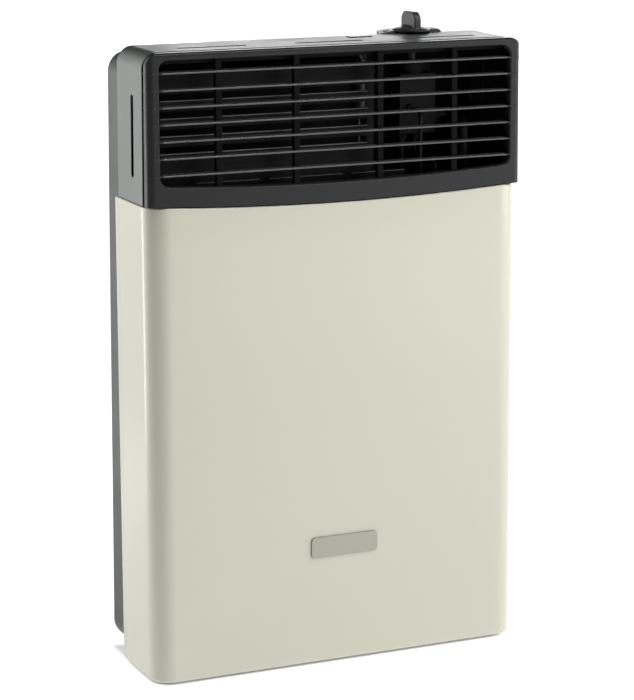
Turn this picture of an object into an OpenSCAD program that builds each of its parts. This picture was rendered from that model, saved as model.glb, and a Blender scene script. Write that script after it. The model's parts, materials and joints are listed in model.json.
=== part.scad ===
// Wall mounted gas heater with a balanced flue.
// Millimetres. X runs to the right seen from the room, Z is up and the wall is the plane Y = 0.
// Depth is the distance from the wall into the room, so a depth of d lies at Y = -d.
// The origin is the centre of the four wall bolts, on the wall plane.

/* [Casing] */
// Width of the dark housing and of the front cover
body_w = 402; // [396:1:420]
// Height from the cover's bottom edge to the flat top
body_h = 620; // [610:1:650]
// Height of the dark head, from the side joint to the top
head_h = 146.4; // [144:0.2:150]
// Depth of the grille's front face at the very top
front_top = 110.5; // [108:0.5:120]
// Angle by which the front leans into the room towards the floor
lean = 1.3; // [0.6:0.1:1.6]
// Sheet steel of the casing
sheet = 1.2; // [0.8:0.1:1.5]
// Drop of the curved joint between grille and cover, at the middle
sag = 5.8; // [3:0.2:8]
// Half of the width over which that joint curves
sag_half = 180; // [160:1:182]
// Open joint between two casing parts
joint_gap = 1; // [0.6:0.1:1.4]

/* [Front cover] */
// Corner radius of the cover seen from above
cover_r = 22; // [16:1:28]
// Depth of the cover's rear edge, before it leans
cover_rear = 20; // [18:0.5:22]
// Width of the flange round the cover's bottom
cover_flange = 10; // [8:0.5:14]
// Width of the flange along the cover's curved top edge
cover_lip = 8; // [5:0.5:10]

/* [Housing] */
// Depth of the housing's rear edge
housing_rear = 32; // [31:0.5:34]
// Depth of the housing's front edge
housing_front = 97; // [95:0.5:98]
// Corner radius of the housing seen from the front
housing_r = 16; // [13:0.5:20]
// Width of the flange that carries the grille
housing_flange = 12; // [11:0.5:14]
// Length of the long cooling slots
slot_l = 74; // [50:1:90]
// Width of the long cooling slots
slot_w = 7; // [4:0.5:9]
// Depth of the row of slots in the top
slot_d = 75; // [64:0.5:84]
// Depth of the slot in each side
side_slot_d = 71; // [64:0.5:84]
// Distance between the slots in the top
slot_pitch = 125; // [115:1:130]
// Place of the middle slot in the top
slot_x = 5; // [0:1:12]

/* [Grille] */
// Open joint between the housing and the grille
grille_gap = 2; // [1.5:0.1:2.5]
// Corner radius of the grille seen from the front
grille_r = 13; // [10:0.5:16]
// Corner radius of the grille seen from above
grille_edge_r = 7; // [4:0.5:8]
// Height of the top rail
rail_h = 7.5; // [6:0.5:8]
// Width of an end post
post_w = 13; // [12:0.5:15]
// Height of the curved band under the fins
band_h = 19.4; // [16:0.2:20]
// Number of fins
fin_count = 7; // [5:1:7]
// Distance between the fins
fin_pitch = 16.24; // [15:0.02:16.6]
// Distance from the top down to the first fin
fin_drop = 19.45; // [18:0.05:21]
// Thickness of a fin
fin_t = 1.8; // [1.6:0.1:3]
// Width of an upright rib behind the fins
rib_w = 5; // [4:0.5:8]
// Distance of the inner ribs from the middle
rib_in = 45; // [35:1:60]
// Distance of the outer ribs from the middle
rib_out = 127; // [110:1:145]
// Setback of the end posts behind the fins' front edges
post_set = 1; // [0.5:0.25:3]
// Setback of the ribs behind the fins' front edges
rib_set = 7; // [3.5:0.25:8]

/* [Back panel] */
// Depth of the back panel's rim
tray_d = 36; // [35:0.5:38]
// Corner radius of the back panel
tray_r = 20; // [18:0.5:26]
// Gap from the casing's side sheet to the back panel's rim
tray_side_gap = 0.5; // [0.4:0.1:1.2]
// Height of the back panel's bottom over the cover's bottom edge
tray_z0 = 12; // [11:0.5:14]
// Height from the back panel's top to the flat top of the housing
tray_drop = 8; // [7:0.25:9]
// Distance between the wall bolts across
bolt_dx = 366; // [350:1:368]
// Distance between the wall bolts in height
bolt_dz = 440; // [430:1:446]
// Height of the wall bolts' centre over the cover's bottom edge
bolt_z = 330; // [326:1:334]
// Radius of a wall bolt hole
bolt_r = 4; // [3:0.5:5]

/* [Badge plate] */
// Width of the bare plate
badge_w = 73; // [50:1:90]
// Height of the bare plate
badge_h = 21; // [14:0.5:26]
// Thickness of the bare plate
badge_t = 1.8; // [1:0.1:2.4]
// Sideways place of the bare plate
badge_x = 3; // [-10:1:10]
// Height of the bare plate's middle
badge_z = 119.5; // [90:0.5:200]

/* [Controls] */
// Sideways place of the control knob
knob_x = 118; // [116:1:120]
// Depth of the knob's axis
knob_d = 29; // [28:0.5:30]
// Radius of the knob's skirt
knob_r = 18.75; // [16:0.25:19]
// Height of the knob over the flat top of the housing
knob_h = 21.5; // [18:0.5:24]
// Thickness of the knob's grip
grip_t = 7.5; // [5:0.25:9]
// Length of the knob's grip from front to back
grip_l = 31; // [26:0.5:32]
// Height of the skirt's lower edge over the flat top
skirt_z = 2.6; // [2.2:0.1:3.5]
// Travel of the knob when it is pushed
knob_travel = 5; // [3:0.5:5.5]
// Length of the control bezel
bezel_w = 72; // [71:1:80]
// Offset of the bezel's middle from the knob
bezel_off = -2; // [-3:0.5:0]
// Height of the bezel over the flat top
bezel_h = 3; // [2:0.1:4]
// Sideways place of the igniter button
button_x = 52; // [50:0.5:54]
// Depth of the igniter button's axis
button_d = 45; // [43:0.5:46]
// Width of the igniter button
button_w = 24; // [20:0.5:26]
// Size of the igniter button from front to back
button_l = 10; // [8:0.5:12]
// Travel of the igniter button
button_travel = 4; // [2:0.5:4]

/* [Burner and flue] */
// Left side of the combustion chamber
chamber_x0 = -150; // [-156:1:-146]
// Width of the combustion chamber
chamber_w = 220; // [210:1:224]
// Height of the chamber's floor over the cover's bottom edge
chamber_z0 = 95; // [93:1:98]
// Height of the combustion chamber
chamber_h = 350; // [340:1:354]
// Depth of the chamber's front flange
chamber_front = 80; // [78:0.5:82]
// Sideways place of the flue
flue_x = -40; // [-50:1:-30]
// Height of the flue's axis over the cover's bottom edge
flue_z = 395; // [380:1:398]
// Outer radius of the exhaust tube
flue_r = 30; // [25:0.5:32]
// Outer radius of the fresh air collar
collar_r = 50; // [46:0.5:52]
// Length of the exhaust tube behind the wall plane
flue_out = 35; // [25:1:60]
// Length of the fresh air collar behind the wall plane
collar_out = 25; // [23:1:40]
// Length of the drawn-in ends that the pipes slip over
spigot_l = 20; // [14:1:22]
// How far those ends are drawn in
swage = 0.8; // [0.5:0.1:1.5]
// Outer radius of the burner tube
burner_r = 15; // [12:0.5:16]
// Height of the burner's axis over the chamber's floor
burner_rise = 37; // [34:0.5:40]
// Number of flame slots in the burner
flame_slots = 24; // [12:1:28]

/* [Gas line] */
// Sideways place of the gas inlet
inlet_x = 122; // [112:1:128]
// Depth of the gas inlet
inlet_d = 60; // [56:1:64]
// Sideways place of the inlet pipe's long run
riser_x = 164; // [162:0.5:168]
// Outer radius of the inlet's thread
inlet_r = 10.48; // [8:0.01:12]
// Length of the inlet's thread
inlet_l = 18; // [14:0.5:20]
// Radius of the control valve's bore
valve_bore_r = 9.05; // [8:0.05:10]
// Radius of the valve spindle
spindle_r = 4; // [3:0.25:4.25]

/* [Fits] */
// Radial running clearance of turning and sliding parts
run_fit = 0.05; // [0.03:0.01:0.08]
// Gap between soft or curved parts and their seats
seat_gap = 0.3; // [0.25:0.05:0.5]

/* [Hidden] */

$fn = 48;
// A length that reaches past any part, for cutting
far = 1000;

// Finishes
dark_paint = [0.42, 0.44, 0.44];
cream_paint = [0.83, 0.82, 0.76];
black_plastic = [0.12, 0.12, 0.12];
grey_plastic = [0.3, 0.3, 0.3];
zinc = [0.68, 0.69, 0.7];
black_enamel = [0.2, 0.2, 0.21];
brass = [0.78, 0.62, 0.3];
aluminium = [0.75, 0.76, 0.77];

// Casing heights and half widths
half_w = body_w / 2;
inner_w = half_w - sheet;
joint_z = body_h - head_h;
cover_z = joint_z - joint_gap;
tray_z1 = body_h - tray_drop;
tray_w = inner_w - tray_side_gap;
sag_r = (sag_half * sag_half + sag * sag) / (2 * sag);

// Grille
grille_rear = housing_front + grille_gap;
open_z = joint_z + band_h;
lip_in = 3;
lip_w = 4;
grille_screw_x = half_w - housing_flange + sheet + 2.5;
grille_screw_z = [joint_z + 26, body_h - 30];
grille_screw_r = 1.5;

// Control bezel and its well
bezel_d0 = 11;
bezel_d1 = housing_rear - seat_gap;
well_gap = 0.75;
well_r = knob_r + well_gap;
bezel_r = well_r + 2;
notch_r = bezel_r + 0.8;
well_floor = body_h + skirt_z - knob_travel - 1.6;
bezel_ramp = 18;
bezel_end = 4;
bezel_screw_dx = 26.5;
bezel_screw_d = 25;

// Valve stack, measured down from the back panel's top
valve_top = tray_z1 - 20;
neck_h = 12;
valve_h = 60;
valve_z1 = valve_top - neck_h;
valve_z0 = valve_z1 - valve_h;
valve_half_w = 20;
valve_half_d = 17;
valve_rear = knob_d - valve_half_d;
plug_z0 = valve_top - 46.7;
plug_z1 = valve_top - 2;
spindle_z0 = valve_top - 40;
spindle_collar_z = tray_z1 - 6;
spindle_collar_r = 7;
spindle_top = body_h + 14;
spindle_step = body_h + skirt_z + 3;
spindle_tip_r = grip_t / 2 - 1.2;
grip_round = 9;

// Igniter stack
button_z0 = body_h - 7.5;
button_z1 = body_h + 0.8;
stem_r = 3;
shelf_z = body_h - 34;
piezo_r = 8;
piezo_z0 = body_h - 75;
piezo_z1 = body_h - 22;
stem_z0 = piezo_z1 - 4;

// Combustion chamber
chamber_x1 = chamber_x0 + chamber_w;
chamber_z1 = chamber_z0 + chamber_h;
duct_d0 = sheet;
duct_d1 = duct_d0 + 20;
gasket_t = 1;
chamber_rear = duct_d1 + gasket_t;
rim = 11;
front_gasket_t = 1.5;
plate_d0 = chamber_front + front_gasket_t;
plate_t = 1.5;
plate_d1 = plate_d0 + plate_t;
duct_x0 = flue_x - 75;
duct_x1 = flue_x + 75;
duct_z0 = chamber_z0 + 3;
duct_z1 = flue_z + 70;
port_w = 100;
port_h = 30;
port_z0 = chamber_z0 + 14;
bolt_r_chamber = 2;
bolt_play = 0.15;
window_x = -8;
window_z = chamber_z0 + 44;
window_r = 16;
glass_r = 20;
frame_r = 24;

// Burner line
burner_z = chamber_z0 + burner_rise;
burner_back = 5.1;
burner_d = (chamber_rear + chamber_front) / 2 - burner_back;
burner_x0 = chamber_x0 + 15;
mixer_x = chamber_x1 - 65;
burner_x1 = chamber_x1 - 25;
mixer_r = 10;
shutter_x0 = burner_x1 - 26;
shutter_l = 20;
pilot_x = chamber_x1 - 75;
probe_x = chamber_x1 - 58;
spark_x = chamber_x1 - 42;
pilot_gap = 8;
pilot_d = burner_d + burner_r + pilot_gap;
probe_d = pilot_d + 6;
spark_d = pilot_d + 1;
lead_z = chamber_z0 + 8;
spark_z = lead_z + 6;
pilot_plate_z = chamber_z0 + 17;

// Slotted guard
guard_slots = 4;
guard_first = 28.5;
guard_pitch = 17;
guard_slot = 6;
guard_lip = 1.6;
guard_side = 8;
guard_sill_z = chamber_z1 + rim + 34.6;
guard_sill_x1 = chamber_x1 + 14;
guard_tabs = [[-225, -158], [-148, -69], [-59, 0]];

// Clips and brackets of the chamber and the pipes
clip_step = 150;
clip_z0 = chamber_z0 + 110;
bracket_h = 30;
bracket_low = 55;
bracket_high = 65;

// Pipe columns to the right of the chamber
spark_col_x = chamber_x1 + 18;
pilot_col_x = knob_x - 8;
probe_col_x = knob_x + 6;
burner_col_x = knob_x - 10;
inlet_bend = 12;
gas_port_z = valve_z0 + 16;

// ---- helpers -------------------------------------------------------------

// Puts the wall bolts' centre at the origin
module placed() { translate([0, 0, -bolt_z]) children(); }

// A point given by its sideways place, depth and height
function at(x, d, z) = [x, -d, z];

// Extrudes a front view, drawn in X and Z, from one depth to another
module slab(d0, d1) { translate([0, -d0, 0]) rotate([90, 0, 0]) linear_extrude(d1 - d0) children(); }

// Box between two corners given as sideways place, depth and height
module block(x0, x1, d0, d1, z0, z1) {
    translate([x0, -d1, z0]) cube([x1 - x0, d1 - d0, z1 - z0]);
}

// Round bar along the depth
module bar_d(x, z, d0, d1, r) { translate([x, -d0, z]) rotate([90, 0, 0]) cylinder(r = r, h = d1 - d0); }

// Round bar along X
module bar_x(x0, x1, d, z, r) { translate([x0, -d, z]) rotate([0, 90, 0]) cylinder(r = r, h = x1 - x0); }

// Upright round bar
module bar_z(x, d, z0, z1, r) { translate([x, -d, z0]) cylinder(r = r, h = z1 - z0); }

// Rectangle with four round corners
module round_rect(x0, z0, x1, z1, r) {
    translate([x0 + r, z0]) square([x1 - x0 - 2 * r, z1 - z0]);
    translate([x0, z0 + r]) square([x1 - x0, z1 - z0 - 2 * r]);
    for (x = [x0 + r, x1 - r], z = [z0 + r, z1 - r]) translate([x, z]) circle(r);
}

// Region over the curved joint whose ends are at height z
module over_curve(z) {
    translate([-far / 2, z]) square([far, far]);
    intersection() {
        translate([-far / 2, z - sag - 1]) square([far, sag + 2]);
        translate([0, z - sag + sag_r]) circle(sag_r, $fn = 720);
    }
}

// Region under the curved joint whose ends are at height z
module under_curve(z) {
    difference() {
        translate([-far / 2, z - far]) square([far, far]);
        translate([0, z - sag + sag_r]) circle(sag_r, $fn = 720);
    }
}

// Leans a part about the front's top edge, so that its foot comes into the room
module leaning() {
    translate([0, -front_top, body_h]) rotate([-lean, 0, 0]) translate([0, front_top, -body_h]) children();
}

// Plan of a casing part with two round front corners
module plan(w, d0, d1, r) {
    translate([-w, r - d1]) square([2 * w, d1 - r - d0]);
    translate([r - w, -d1]) square([2 * (w - r), d1 - d0]);
    for (s = [-1, 1]) translate([s * (w - r), r - d1]) circle(r);
}

// Upright prism over such a plan, from below the floor to over the top
module prism(w, d0, d1, r) { translate([0, 0, -50]) linear_extrude(body_h + 100) plan(w, d0, d1, r); }

// Front view of a head part with round top corners, inset all round but at the bottom
module head_view(inset, r) {
    intersection() {
        round_rect(inset - half_w, joint_z - 60, half_w - inset, body_h - inset, r - inset);
        translate([-far / 2, joint_z]) square([far, far]);
    }
}

// Slot with round ends, long in X
module slot_view(l, w) {
    square([l - w, w], center = true);
    for (s = [-1, 1]) translate([s * (l - w) / 2, 0]) circle(w / 2);
}

// Round bar between two points on a line that runs along an axis
module rod(a, b, r) {
    l = norm(b - a);
    u = (b - a) / l;
    p = abs(u.z) > 0.5 ? [1, 0, 0] : [0, 0, 1];
    q = cross(u, p);
    multmatrix([[p.x, q.x, u.x, a.x], [p.y, q.y, u.y, a.y], [p.z, q.z, u.z, a.z], [0, 0, 0, 1]])
        cylinder(r = r, h = l, $fn = 24);
}

// Quarter bend at a corner, from direction u into direction v
module bend(corner, u, v, bend_r, r) {
    w = cross(u, v);
    c = corner + (v - u) * bend_r;
    multmatrix([[-v.x, u.x, w.x, c.x], [-v.y, u.y, w.y, c.y], [-v.z, u.z, w.z, c.z], [0, 0, 0, 1]])
        rotate_extrude(angle = 90) translate([bend_r, 0]) circle(r, $fn = 24);
}

// Round bar along a route of square corners
module route(points, r, bend_r) {
    last = len(points) - 2;
    for (i = [0 : last]) {
        u = (points[i + 1] - points[i]) / norm(points[i + 1] - points[i]);
        rod(points[i] + u * (i == 0 ? 0 : bend_r), points[i + 1] - u * (i == last ? 0 : bend_r), r);
        if (i < last) {
            v = (points[i + 2] - points[i + 1]) / norm(points[i + 2] - points[i + 1]);
            bend(points[i + 1], u, v, bend_r, r);
        }
    }
}

// The same route with its first and last points moved out, for boring a pipe
function longer(points, by) = [for (i = [0 : len(points) - 1])
    i == 0 ? points[0] - by * (points[1] - points[0]) / norm(points[1] - points[0])
    : i == len(points) - 1 ? points[i] + by * (points[i] - points[i - 1]) / norm(points[i] - points[i - 1])
    : points[i]];

module pipe(points, r, wall, bend_r) {
    difference() {
        route(points, r, bend_r);
        route(longer(points, 1), r - wall, bend_r);
    }
}

// ---- casing --------------------------------------------------------------

module tray_view(inset) {
    round_rect(inset - tray_w, tray_z0 + inset, tray_w - inset, tray_z1 - inset, tray_r - inset);
}

module back_panel() {
    color(dark_paint) difference() {
        slab(0, tray_d) tray_view(0);
        slab(sheet, tray_d + 1) tray_view(sheet);
        for (x = [-bolt_dx / 2, bolt_dx / 2], z = [bolt_z - bolt_dz / 2, bolt_z + bolt_dz / 2])
            bar_d(x, z, -1, sheet + 1, bolt_r);
        bar_d(flue_x, flue_z, -1, sheet + 1, collar_r + seat_gap);
        bar_z(knob_x, knob_d, tray_z1 - 5, tray_z1 + 1, spindle_r + 2);
        bezel_screw_places() bar_z(0, 0, tray_z1 - 5, tray_z1 + 1, 1.5 + bolt_play);
    }
}

module upper_housing() {
    color(dark_paint) difference() {
        union() {
            difference() {
                slab(housing_rear, housing_front) head_view(0, housing_r);
                slab(housing_rear - 1, housing_front + 1) head_view(sheet, housing_r);
                block(-far / 2, far / 2, 0, far / 2, joint_z - 1, joint_z);
            }
            housing_front_flange();
            housing_rear_lip();
        }
        for (i = [-1 : 1]) translate([slot_x + i * slot_pitch, -slot_d, body_h - 5])
            linear_extrude(10) slot_view(slot_l, slot_w);
        // slot in the left side only
        translate([-half_w - 5, -side_slot_d, side_slot_z()]) rotate([0, 90, 0])
            linear_extrude(10) slot_view(slot_l + 6, slot_w);
        block(button_x - button_w / 2 - 0.5, button_x + button_w / 2 + 0.5,
              button_d - button_l / 2 - 0.5, button_d + button_l / 2 + 0.5, body_h - 5, body_h + 5);
        bar_z(knob_x, knob_d, tray_z1 - 5, body_h + 5, notch_r);
        grille_screw_places() bar_d(0, 0, housing_front - 5, housing_front + 1, grille_screw_r + bolt_play);
    }
}

function side_slot_z() = joint_z + 64;

module housing_front_flange() {
    slab(housing_front - sheet, housing_front) difference() {
        head_view(0, housing_r);
        head_view(housing_flange, housing_r);
    }
}

module housing_rear_lip() {
    lip_half = half_w - housing_r - 6;
    block(-lip_half, lip_half, housing_rear, housing_rear + sheet, tray_z1 + seat_gap, body_h);
}

// Solid that the grille is cut from, with its front face set back by set
module grille_envelope(set) {
    intersection() {
        slab(grille_rear, grille_rear + 60) intersection() {
            head_outline(grille_r);
            over_curve(joint_z);
        }
        leaning() prism(half_w, 60, front_top - set, grille_edge_r);
        leaning() translate([-far / 2, 0, 0]) rotate([90, 0, 90]) linear_extrude(far)
            intersection() {
                round_rect(set - front_top, joint_z - 80, front_top, body_h, 3);
                translate([-far / 2, joint_z - 70]) square([far, far]);
            }
    }
}

// Front view of the head without a bottom edge of its own
module head_outline(r) { round_rect(-half_w, joint_z - 60, half_w, body_h, r); }

module grille_opening_view() {
    round_rect(post_w - half_w, open_z, half_w - post_w, body_h - rail_h, 9);
    intersection() {
        over_curve(open_z);
        translate([post_w - half_w, open_z - sag - 2]) square([2 * (half_w - post_w), sag + 4]);
    }
}

module fin_bars() {
    for (i = [0 : fin_count - 1])
        block(-half_w - 1, half_w + 1, grille_rear, far / 2,
              body_h - fin_drop - i * fin_pitch - fin_t / 2, body_h - fin_drop - i * fin_pitch + fin_t / 2);
}

module grille() {
    color(black_plastic) difference() {
        union() {
            // top rail and curved band
            difference() {
                grille_envelope(0);
                slab(grille_rear - 1, far / 2) grille_opening_view();
                slab(grille_rear - 1, far / 2) translate([-far / 2, open_z]) square([far, body_h - rail_h - open_z]);
                band_pocket();
            }
            // end posts
            difference() {
                intersection() {
                    grille_envelope(post_set);
                    slab(grille_rear, far / 2) translate([-far / 2, open_z]) square([far, body_h - open_z]);
                }
                slab(grille_rear - 1, far / 2) grille_opening_view();
            }
            intersection() {
                grille_envelope(0);
                fin_bars();
            }
            // upright ribs behind the fins
            intersection() {
                grille_envelope(rib_set);
                for (x = [-rib_out, -rib_in, rib_in, rib_out])
                    block(x - rib_w / 2, x + rib_w / 2, grille_rear, far / 2, open_z - sag - 1, body_h - rail_h + 1);
            }
            grille_lip();
        }
        grille_screw_places() bar_d(0, 0, housing_front, housing_front + 9, grille_screw_r);
    }
}

// Hollow in the rear of the curved band
module band_pocket() {
    wall = 2.5;
    intersection() {
        slab(grille_rear - 1, far / 2) intersection() {
            over_curve(joint_z + wall);
            under_curve(open_z - wall);
            translate([post_w + wall - half_w, joint_z - 20]) square([2 * (half_w - post_w - wall), 60]);
        }
        leaning() prism(half_w - wall, 60, front_top - wall, grille_edge_r - wall);
    }
}

// Rim that seats on the housing's front flange
module grille_lip() {
    slab(housing_front, grille_rear + 1) intersection() {
        difference() {
            head_view(lip_in, grille_r);
            head_view(lip_in + lip_w, grille_r);
        }
        translate([-far / 2, open_z + 1]) square([far, far]);
    }
}

module grille_screw_places() {
    for (s = [-1, 1], z = grille_screw_z) translate([s * grille_screw_x, 0, z]) children();
}

module grille_screws() {
    color(zinc) grille_screw_places() {
        bar_d(0, 0, housing_front - sheet, housing_front + 8, grille_screw_r - run_fit);
        bar_d(0, 0, housing_front - sheet - 2, housing_front - sheet, 3.2);
    }
}

module front_cover() {
    color(cream_paint) {
        intersection() {
            leaning() difference() {
                prism(half_w, cover_rear, front_top, cover_r);
                prism(inner_w, cover_rear - 1, front_top - sheet, cover_r - sheet);
            }
            slab(0, far / 2) intersection() {
                under_curve(cover_z);
                translate([-far / 2, 0]) square([far, far]);
            }
        }
        // flange round the bottom
        difference() {
            intersection() {
                leaning() prism(inner_w, cover_rear, front_top - sheet, cover_r - sheet);
                block(-far / 2, far / 2, 0, far / 2, 0, sheet);
            }
            leaning() prism(inner_w - cover_flange, cover_rear - 1, front_top - sheet - cover_flange,
                            cover_r - sheet - 2);
        }
        // flange along the curved top edge
        intersection() {
            leaning() difference() {
                prism(sag_half - 12, cover_rear, front_top - sheet, 1);
                prism(sag_half - 11, cover_rear - 1, front_top - sheet - cover_lip, 1);
            }
            slab(0, far / 2) difference() {
                under_curve(cover_z);
                under_curve(cover_z - sheet);
            }
        }
    }
}

module badge_plate() {
    color([0.7, 0.69, 0.63]) leaning()
        slab(front_top, front_top + badge_t) round_rect(badge_x - badge_w / 2, badge_z - badge_h / 2,
                                                        badge_x + badge_w / 2, badge_z + badge_h / 2, 4);
}

// Plates that join housing and cover behind the side joint
module side_straps() {
    color(zinc) for (s = [-1, 1]) mirror([s < 0 ? 1 : 0, 0, 0])
        block(inner_w - sheet, inner_w, 46, 84, joint_z - 20, joint_z + 18);
}

// Clips on the back panel's bottom rim that the cover's side flanges sit on
module cover_clips() {
    foot_z = sheet;
    hook_z = tray_z0 + sheet;
    color(zinc) for (s = [-1, 1]) mirror([s < 0 ? 1 : 0, 0, 0]) {
        block(inner_w - 46, inner_w - 2, tray_d, tray_d + 21, foot_z, foot_z + sheet);
        block(inner_w - 46, inner_w - 26, tray_d, tray_d + sheet, foot_z, hook_z + sheet);
        block(inner_w - 46, inner_w - 26, tray_d - 20, tray_d + sheet, hook_z, hook_z + sheet);
    }
}

// ---- controls ------------------------------------------------------------

module bezel_screw_places() {
    for (s = [-1, 1]) translate([knob_x + s * bezel_screw_dx, -bezel_screw_d, 0]) children();
}

module control_bezel() {
    x0 = knob_x + bezel_off - bezel_w / 2;
    x1 = knob_x + bezel_off + bezel_w / 2;
    color(grey_plastic) difference() {
        union() {
            // strip with a long slope on the left and a short one on the right, behind the housing's rear edge
            intersection() {
                slab(bezel_d0, bezel_d1) polygon([[x0, tray_z1], [x1, tray_z1], [x1, body_h],
                    [x1 - bezel_end, body_h + bezel_h], [x0 + bezel_ramp, body_h + bezel_h], [x0, body_h]]);
                linear_extrude(body_h + 50) polygon([[x0, -bezel_d1], [x1, -bezel_d1],
                    [x1, -bezel_d0], [x0 + 8, -bezel_d0]]);
            }
            bar_z(knob_x, knob_d, tray_z1, body_h, bezel_r);
        }
        bar_z(knob_x, knob_d, well_floor, body_h + 10, well_r);
        bar_z(knob_x, knob_d, tray_z1 - 1, body_h, spindle_r + 1.5);
        bezel_screw_places() {
            bar_z(0, 0, tray_z1 - 1, body_h + 10, 1.5 + bolt_play);
            bar_z(0, 0, body_h - 2, body_h + 10, 2.75);
        }
    }
}

module bezel_screws() {
    color(zinc) bezel_screw_places() {
        bar_z(0, 0, tray_z1 - sheet - 3, body_h - 2, 1.5);
        bar_z(0, 0, body_h - 2, body_h, 2.5);
    }
}

module control_knob() {
    skirt = body_h + skirt_z;
    top = body_h + knob_h;
    color(grey_plastic) translate([knob_x, -knob_d, 0]) difference() {
        union() {
            rotate_extrude() polygon([[0, skirt], [knob_r, skirt], [knob_r, skirt + 1.2],
                [grip_l / 2 - 2, skirt + 3.4], [8, skirt + 4.4], [0, skirt + 4.4]]);
            // grip with round shoulders that stands front to back
            translate([-grip_t / 2, 0, 0]) rotate([90, 0, 90]) linear_extrude(grip_t) intersection() {
                round_rect(-grip_l / 2, skirt - grip_round, grip_l / 2, top, grip_round);
                translate([-grip_l, skirt + 1]) square([2 * grip_l, knob_h]);
            }
        }
        // hollow under the skirt, round the hub
        rotate_extrude() polygon([[7, skirt - 1], [knob_r - 1.6, skirt - 1], [knob_r - 1.6, skirt + 0.4],
            [grip_l / 2 - 4, skirt + 1.8], [7, skirt + 2.4]]);
        translate([0, 0, skirt - 1]) cylinder(r = spindle_r + run_fit, h = spindle_step - skirt + 1 + seat_gap);
        translate([0, 0, skirt - 1]) cylinder(r = spindle_tip_r + run_fit, h = spindle_top - skirt + 1 + seat_gap);
    }
}

module valve_spindle() {
    color(brass) translate([knob_x, -knob_d, 0]) {
        translate([0, 0, spindle_z0]) cylinder(r = spindle_r, h = spindle_step - spindle_z0);
        translate([0, 0, spindle_z0]) cylinder(r = spindle_tip_r, h = spindle_top - spindle_z0);
        translate([0, 0, spindle_collar_z]) cylinder(r = spindle_collar_r, h = 1.5);
    }
}

module valve_spring() {
    color(zinc) translate([knob_x, -knob_d, plug_z1 + seat_gap]) difference() {
        cylinder(r = 6.2, h = spindle_collar_z - plug_z1 - 2 * seat_gap);
        translate([0, 0, -1]) cylinder(r = spindle_r + 0.6, h = 50);
    }
}

module valve_plug() {
    color(brass) translate([knob_x, -knob_d, plug_z0]) difference() {
        cylinder(r = valve_bore_r - run_fit, h = plug_z1 - plug_z0);
        translate([0, 0, -1]) cylinder(r = spindle_r + run_fit, h = 60);
    }
}

module gas_valve_body() {
    color(aluminium) difference() {
        union() {
            block(knob_x - valve_half_w, knob_x + valve_half_w, valve_rear, knob_d + valve_half_d, valve_z0, valve_z1);
            bar_z(knob_x, knob_d, valve_z1 - 1, valve_top, 13);
            // ports for the inlet, the burner, the pilot and the thermocouple
            bar_x(knob_x + valve_half_w - 1, knob_x + valve_half_w + 10, knob_d, gas_port_z, 9);
            bar_z(burner_col_x, knob_d, valve_z0 - 8, valve_z0 + 1, 6.5);
            bar_z(probe_col_x, knob_d, valve_z0 - 8, valve_z0 + 1, 5);
            bar_d(pilot_col_x, gas_port_z + 9, knob_d + valve_half_d - 1, knob_d + valve_half_d + 4, 5);
        }
        bar_z(knob_x, knob_d, plug_z0 - seat_gap, valve_top + 1, valve_bore_r);
        valve_screw_places() bar_d(0, 0, valve_rear - 1, valve_rear + 9, 2);
    }
}

module valve_screw_places() {
    for (s = [-1, 1]) translate([knob_x + s * 14, 0, valve_z0 + 30 + s * 20]) children();
}

module valve_bracket() {
    half = valve_half_w + 6;
    z0 = valve_z0 - 4;
    z1 = valve_z1 + 8;
    color(zinc) difference() {
        union() {
            block(knob_x - half, knob_x + half, valve_rear - sheet, valve_rear, z0, z1);
            for (s = [-1, 1]) translate([knob_x, 0, 0]) mirror([s < 0 ? 1 : 0, 0, 0]) {
                block(half - sheet, half, sheet, valve_rear, z0, z1);
                block(half - sheet, half + 10, sheet, 2 * sheet, z0, z1);
            }
        }
        valve_screw_places() bar_d(0, 0, 0, valve_rear + 1, 2 + bolt_play);
    }
}

module valve_screws() {
    color(zinc) valve_screw_places() {
        bar_d(0, 0, valve_rear - sheet, valve_rear + 8, 2 - run_fit);
        bar_d(0, 0, valve_rear - sheet - 2.5, valve_rear - sheet, 3.6);
    }
}

module igniter_button() {
    color(black_plastic) {
        block(button_x - button_w / 2, button_x + button_w / 2, button_d - button_l / 2, button_d + button_l / 2,
              button_z0, button_z1);
        bar_z(button_x, button_d, stem_z0, button_z0 + 1, stem_r);
    }
}

module igniter_spring() {
    color(zinc) translate([button_x, -button_d, piezo_z1 + seat_gap]) difference() {
        cylinder(r = 5, h = button_z0 - piezo_z1 - 2 * seat_gap);
        translate([0, 0, -1]) cylinder(r = stem_r + 0.6, h = 40);
    }
}

module igniter_body() {
    color(black_plastic) translate([button_x, -button_d, 0]) difference() {
        union() {
            translate([0, 0, piezo_z0]) cylinder(r = piezo_r, h = piezo_z1 - piezo_z0);
            translate([0, 0, shelf_z + sheet]) cylinder(r = piezo_r + 1, h = 2);
            translate([0, 0, piezo_z0 - 4]) cylinder(r = 3.5, h = 5);
        }
        translate([0, 0, stem_z0 - button_travel - 2]) cylinder(r = stem_r + run_fit, h = 40);
    }
}

// Stepped plate under the back panel's top rim that carries the igniter
module igniter_bracket() {
    top = tray_z1 - sheet;
    step = tray_d - seat_gap;
    color(zinc) difference() {
        union() {
            block(button_x - 13, button_x + 13, 16, step, top - sheet, top);
            block(button_x - 13, button_x + 13, step - sheet, step, shelf_z, top);
            block(button_x - 13, button_x + 13, step - sheet, button_d + 13, shelf_z, shelf_z + sheet);
        }
        bar_z(button_x, button_d, shelf_z - 1, shelf_z + sheet + 1, piezo_r + seat_gap);
    }
}

// ---- spark, pilot and thermocouple ---------------------------------------

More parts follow.
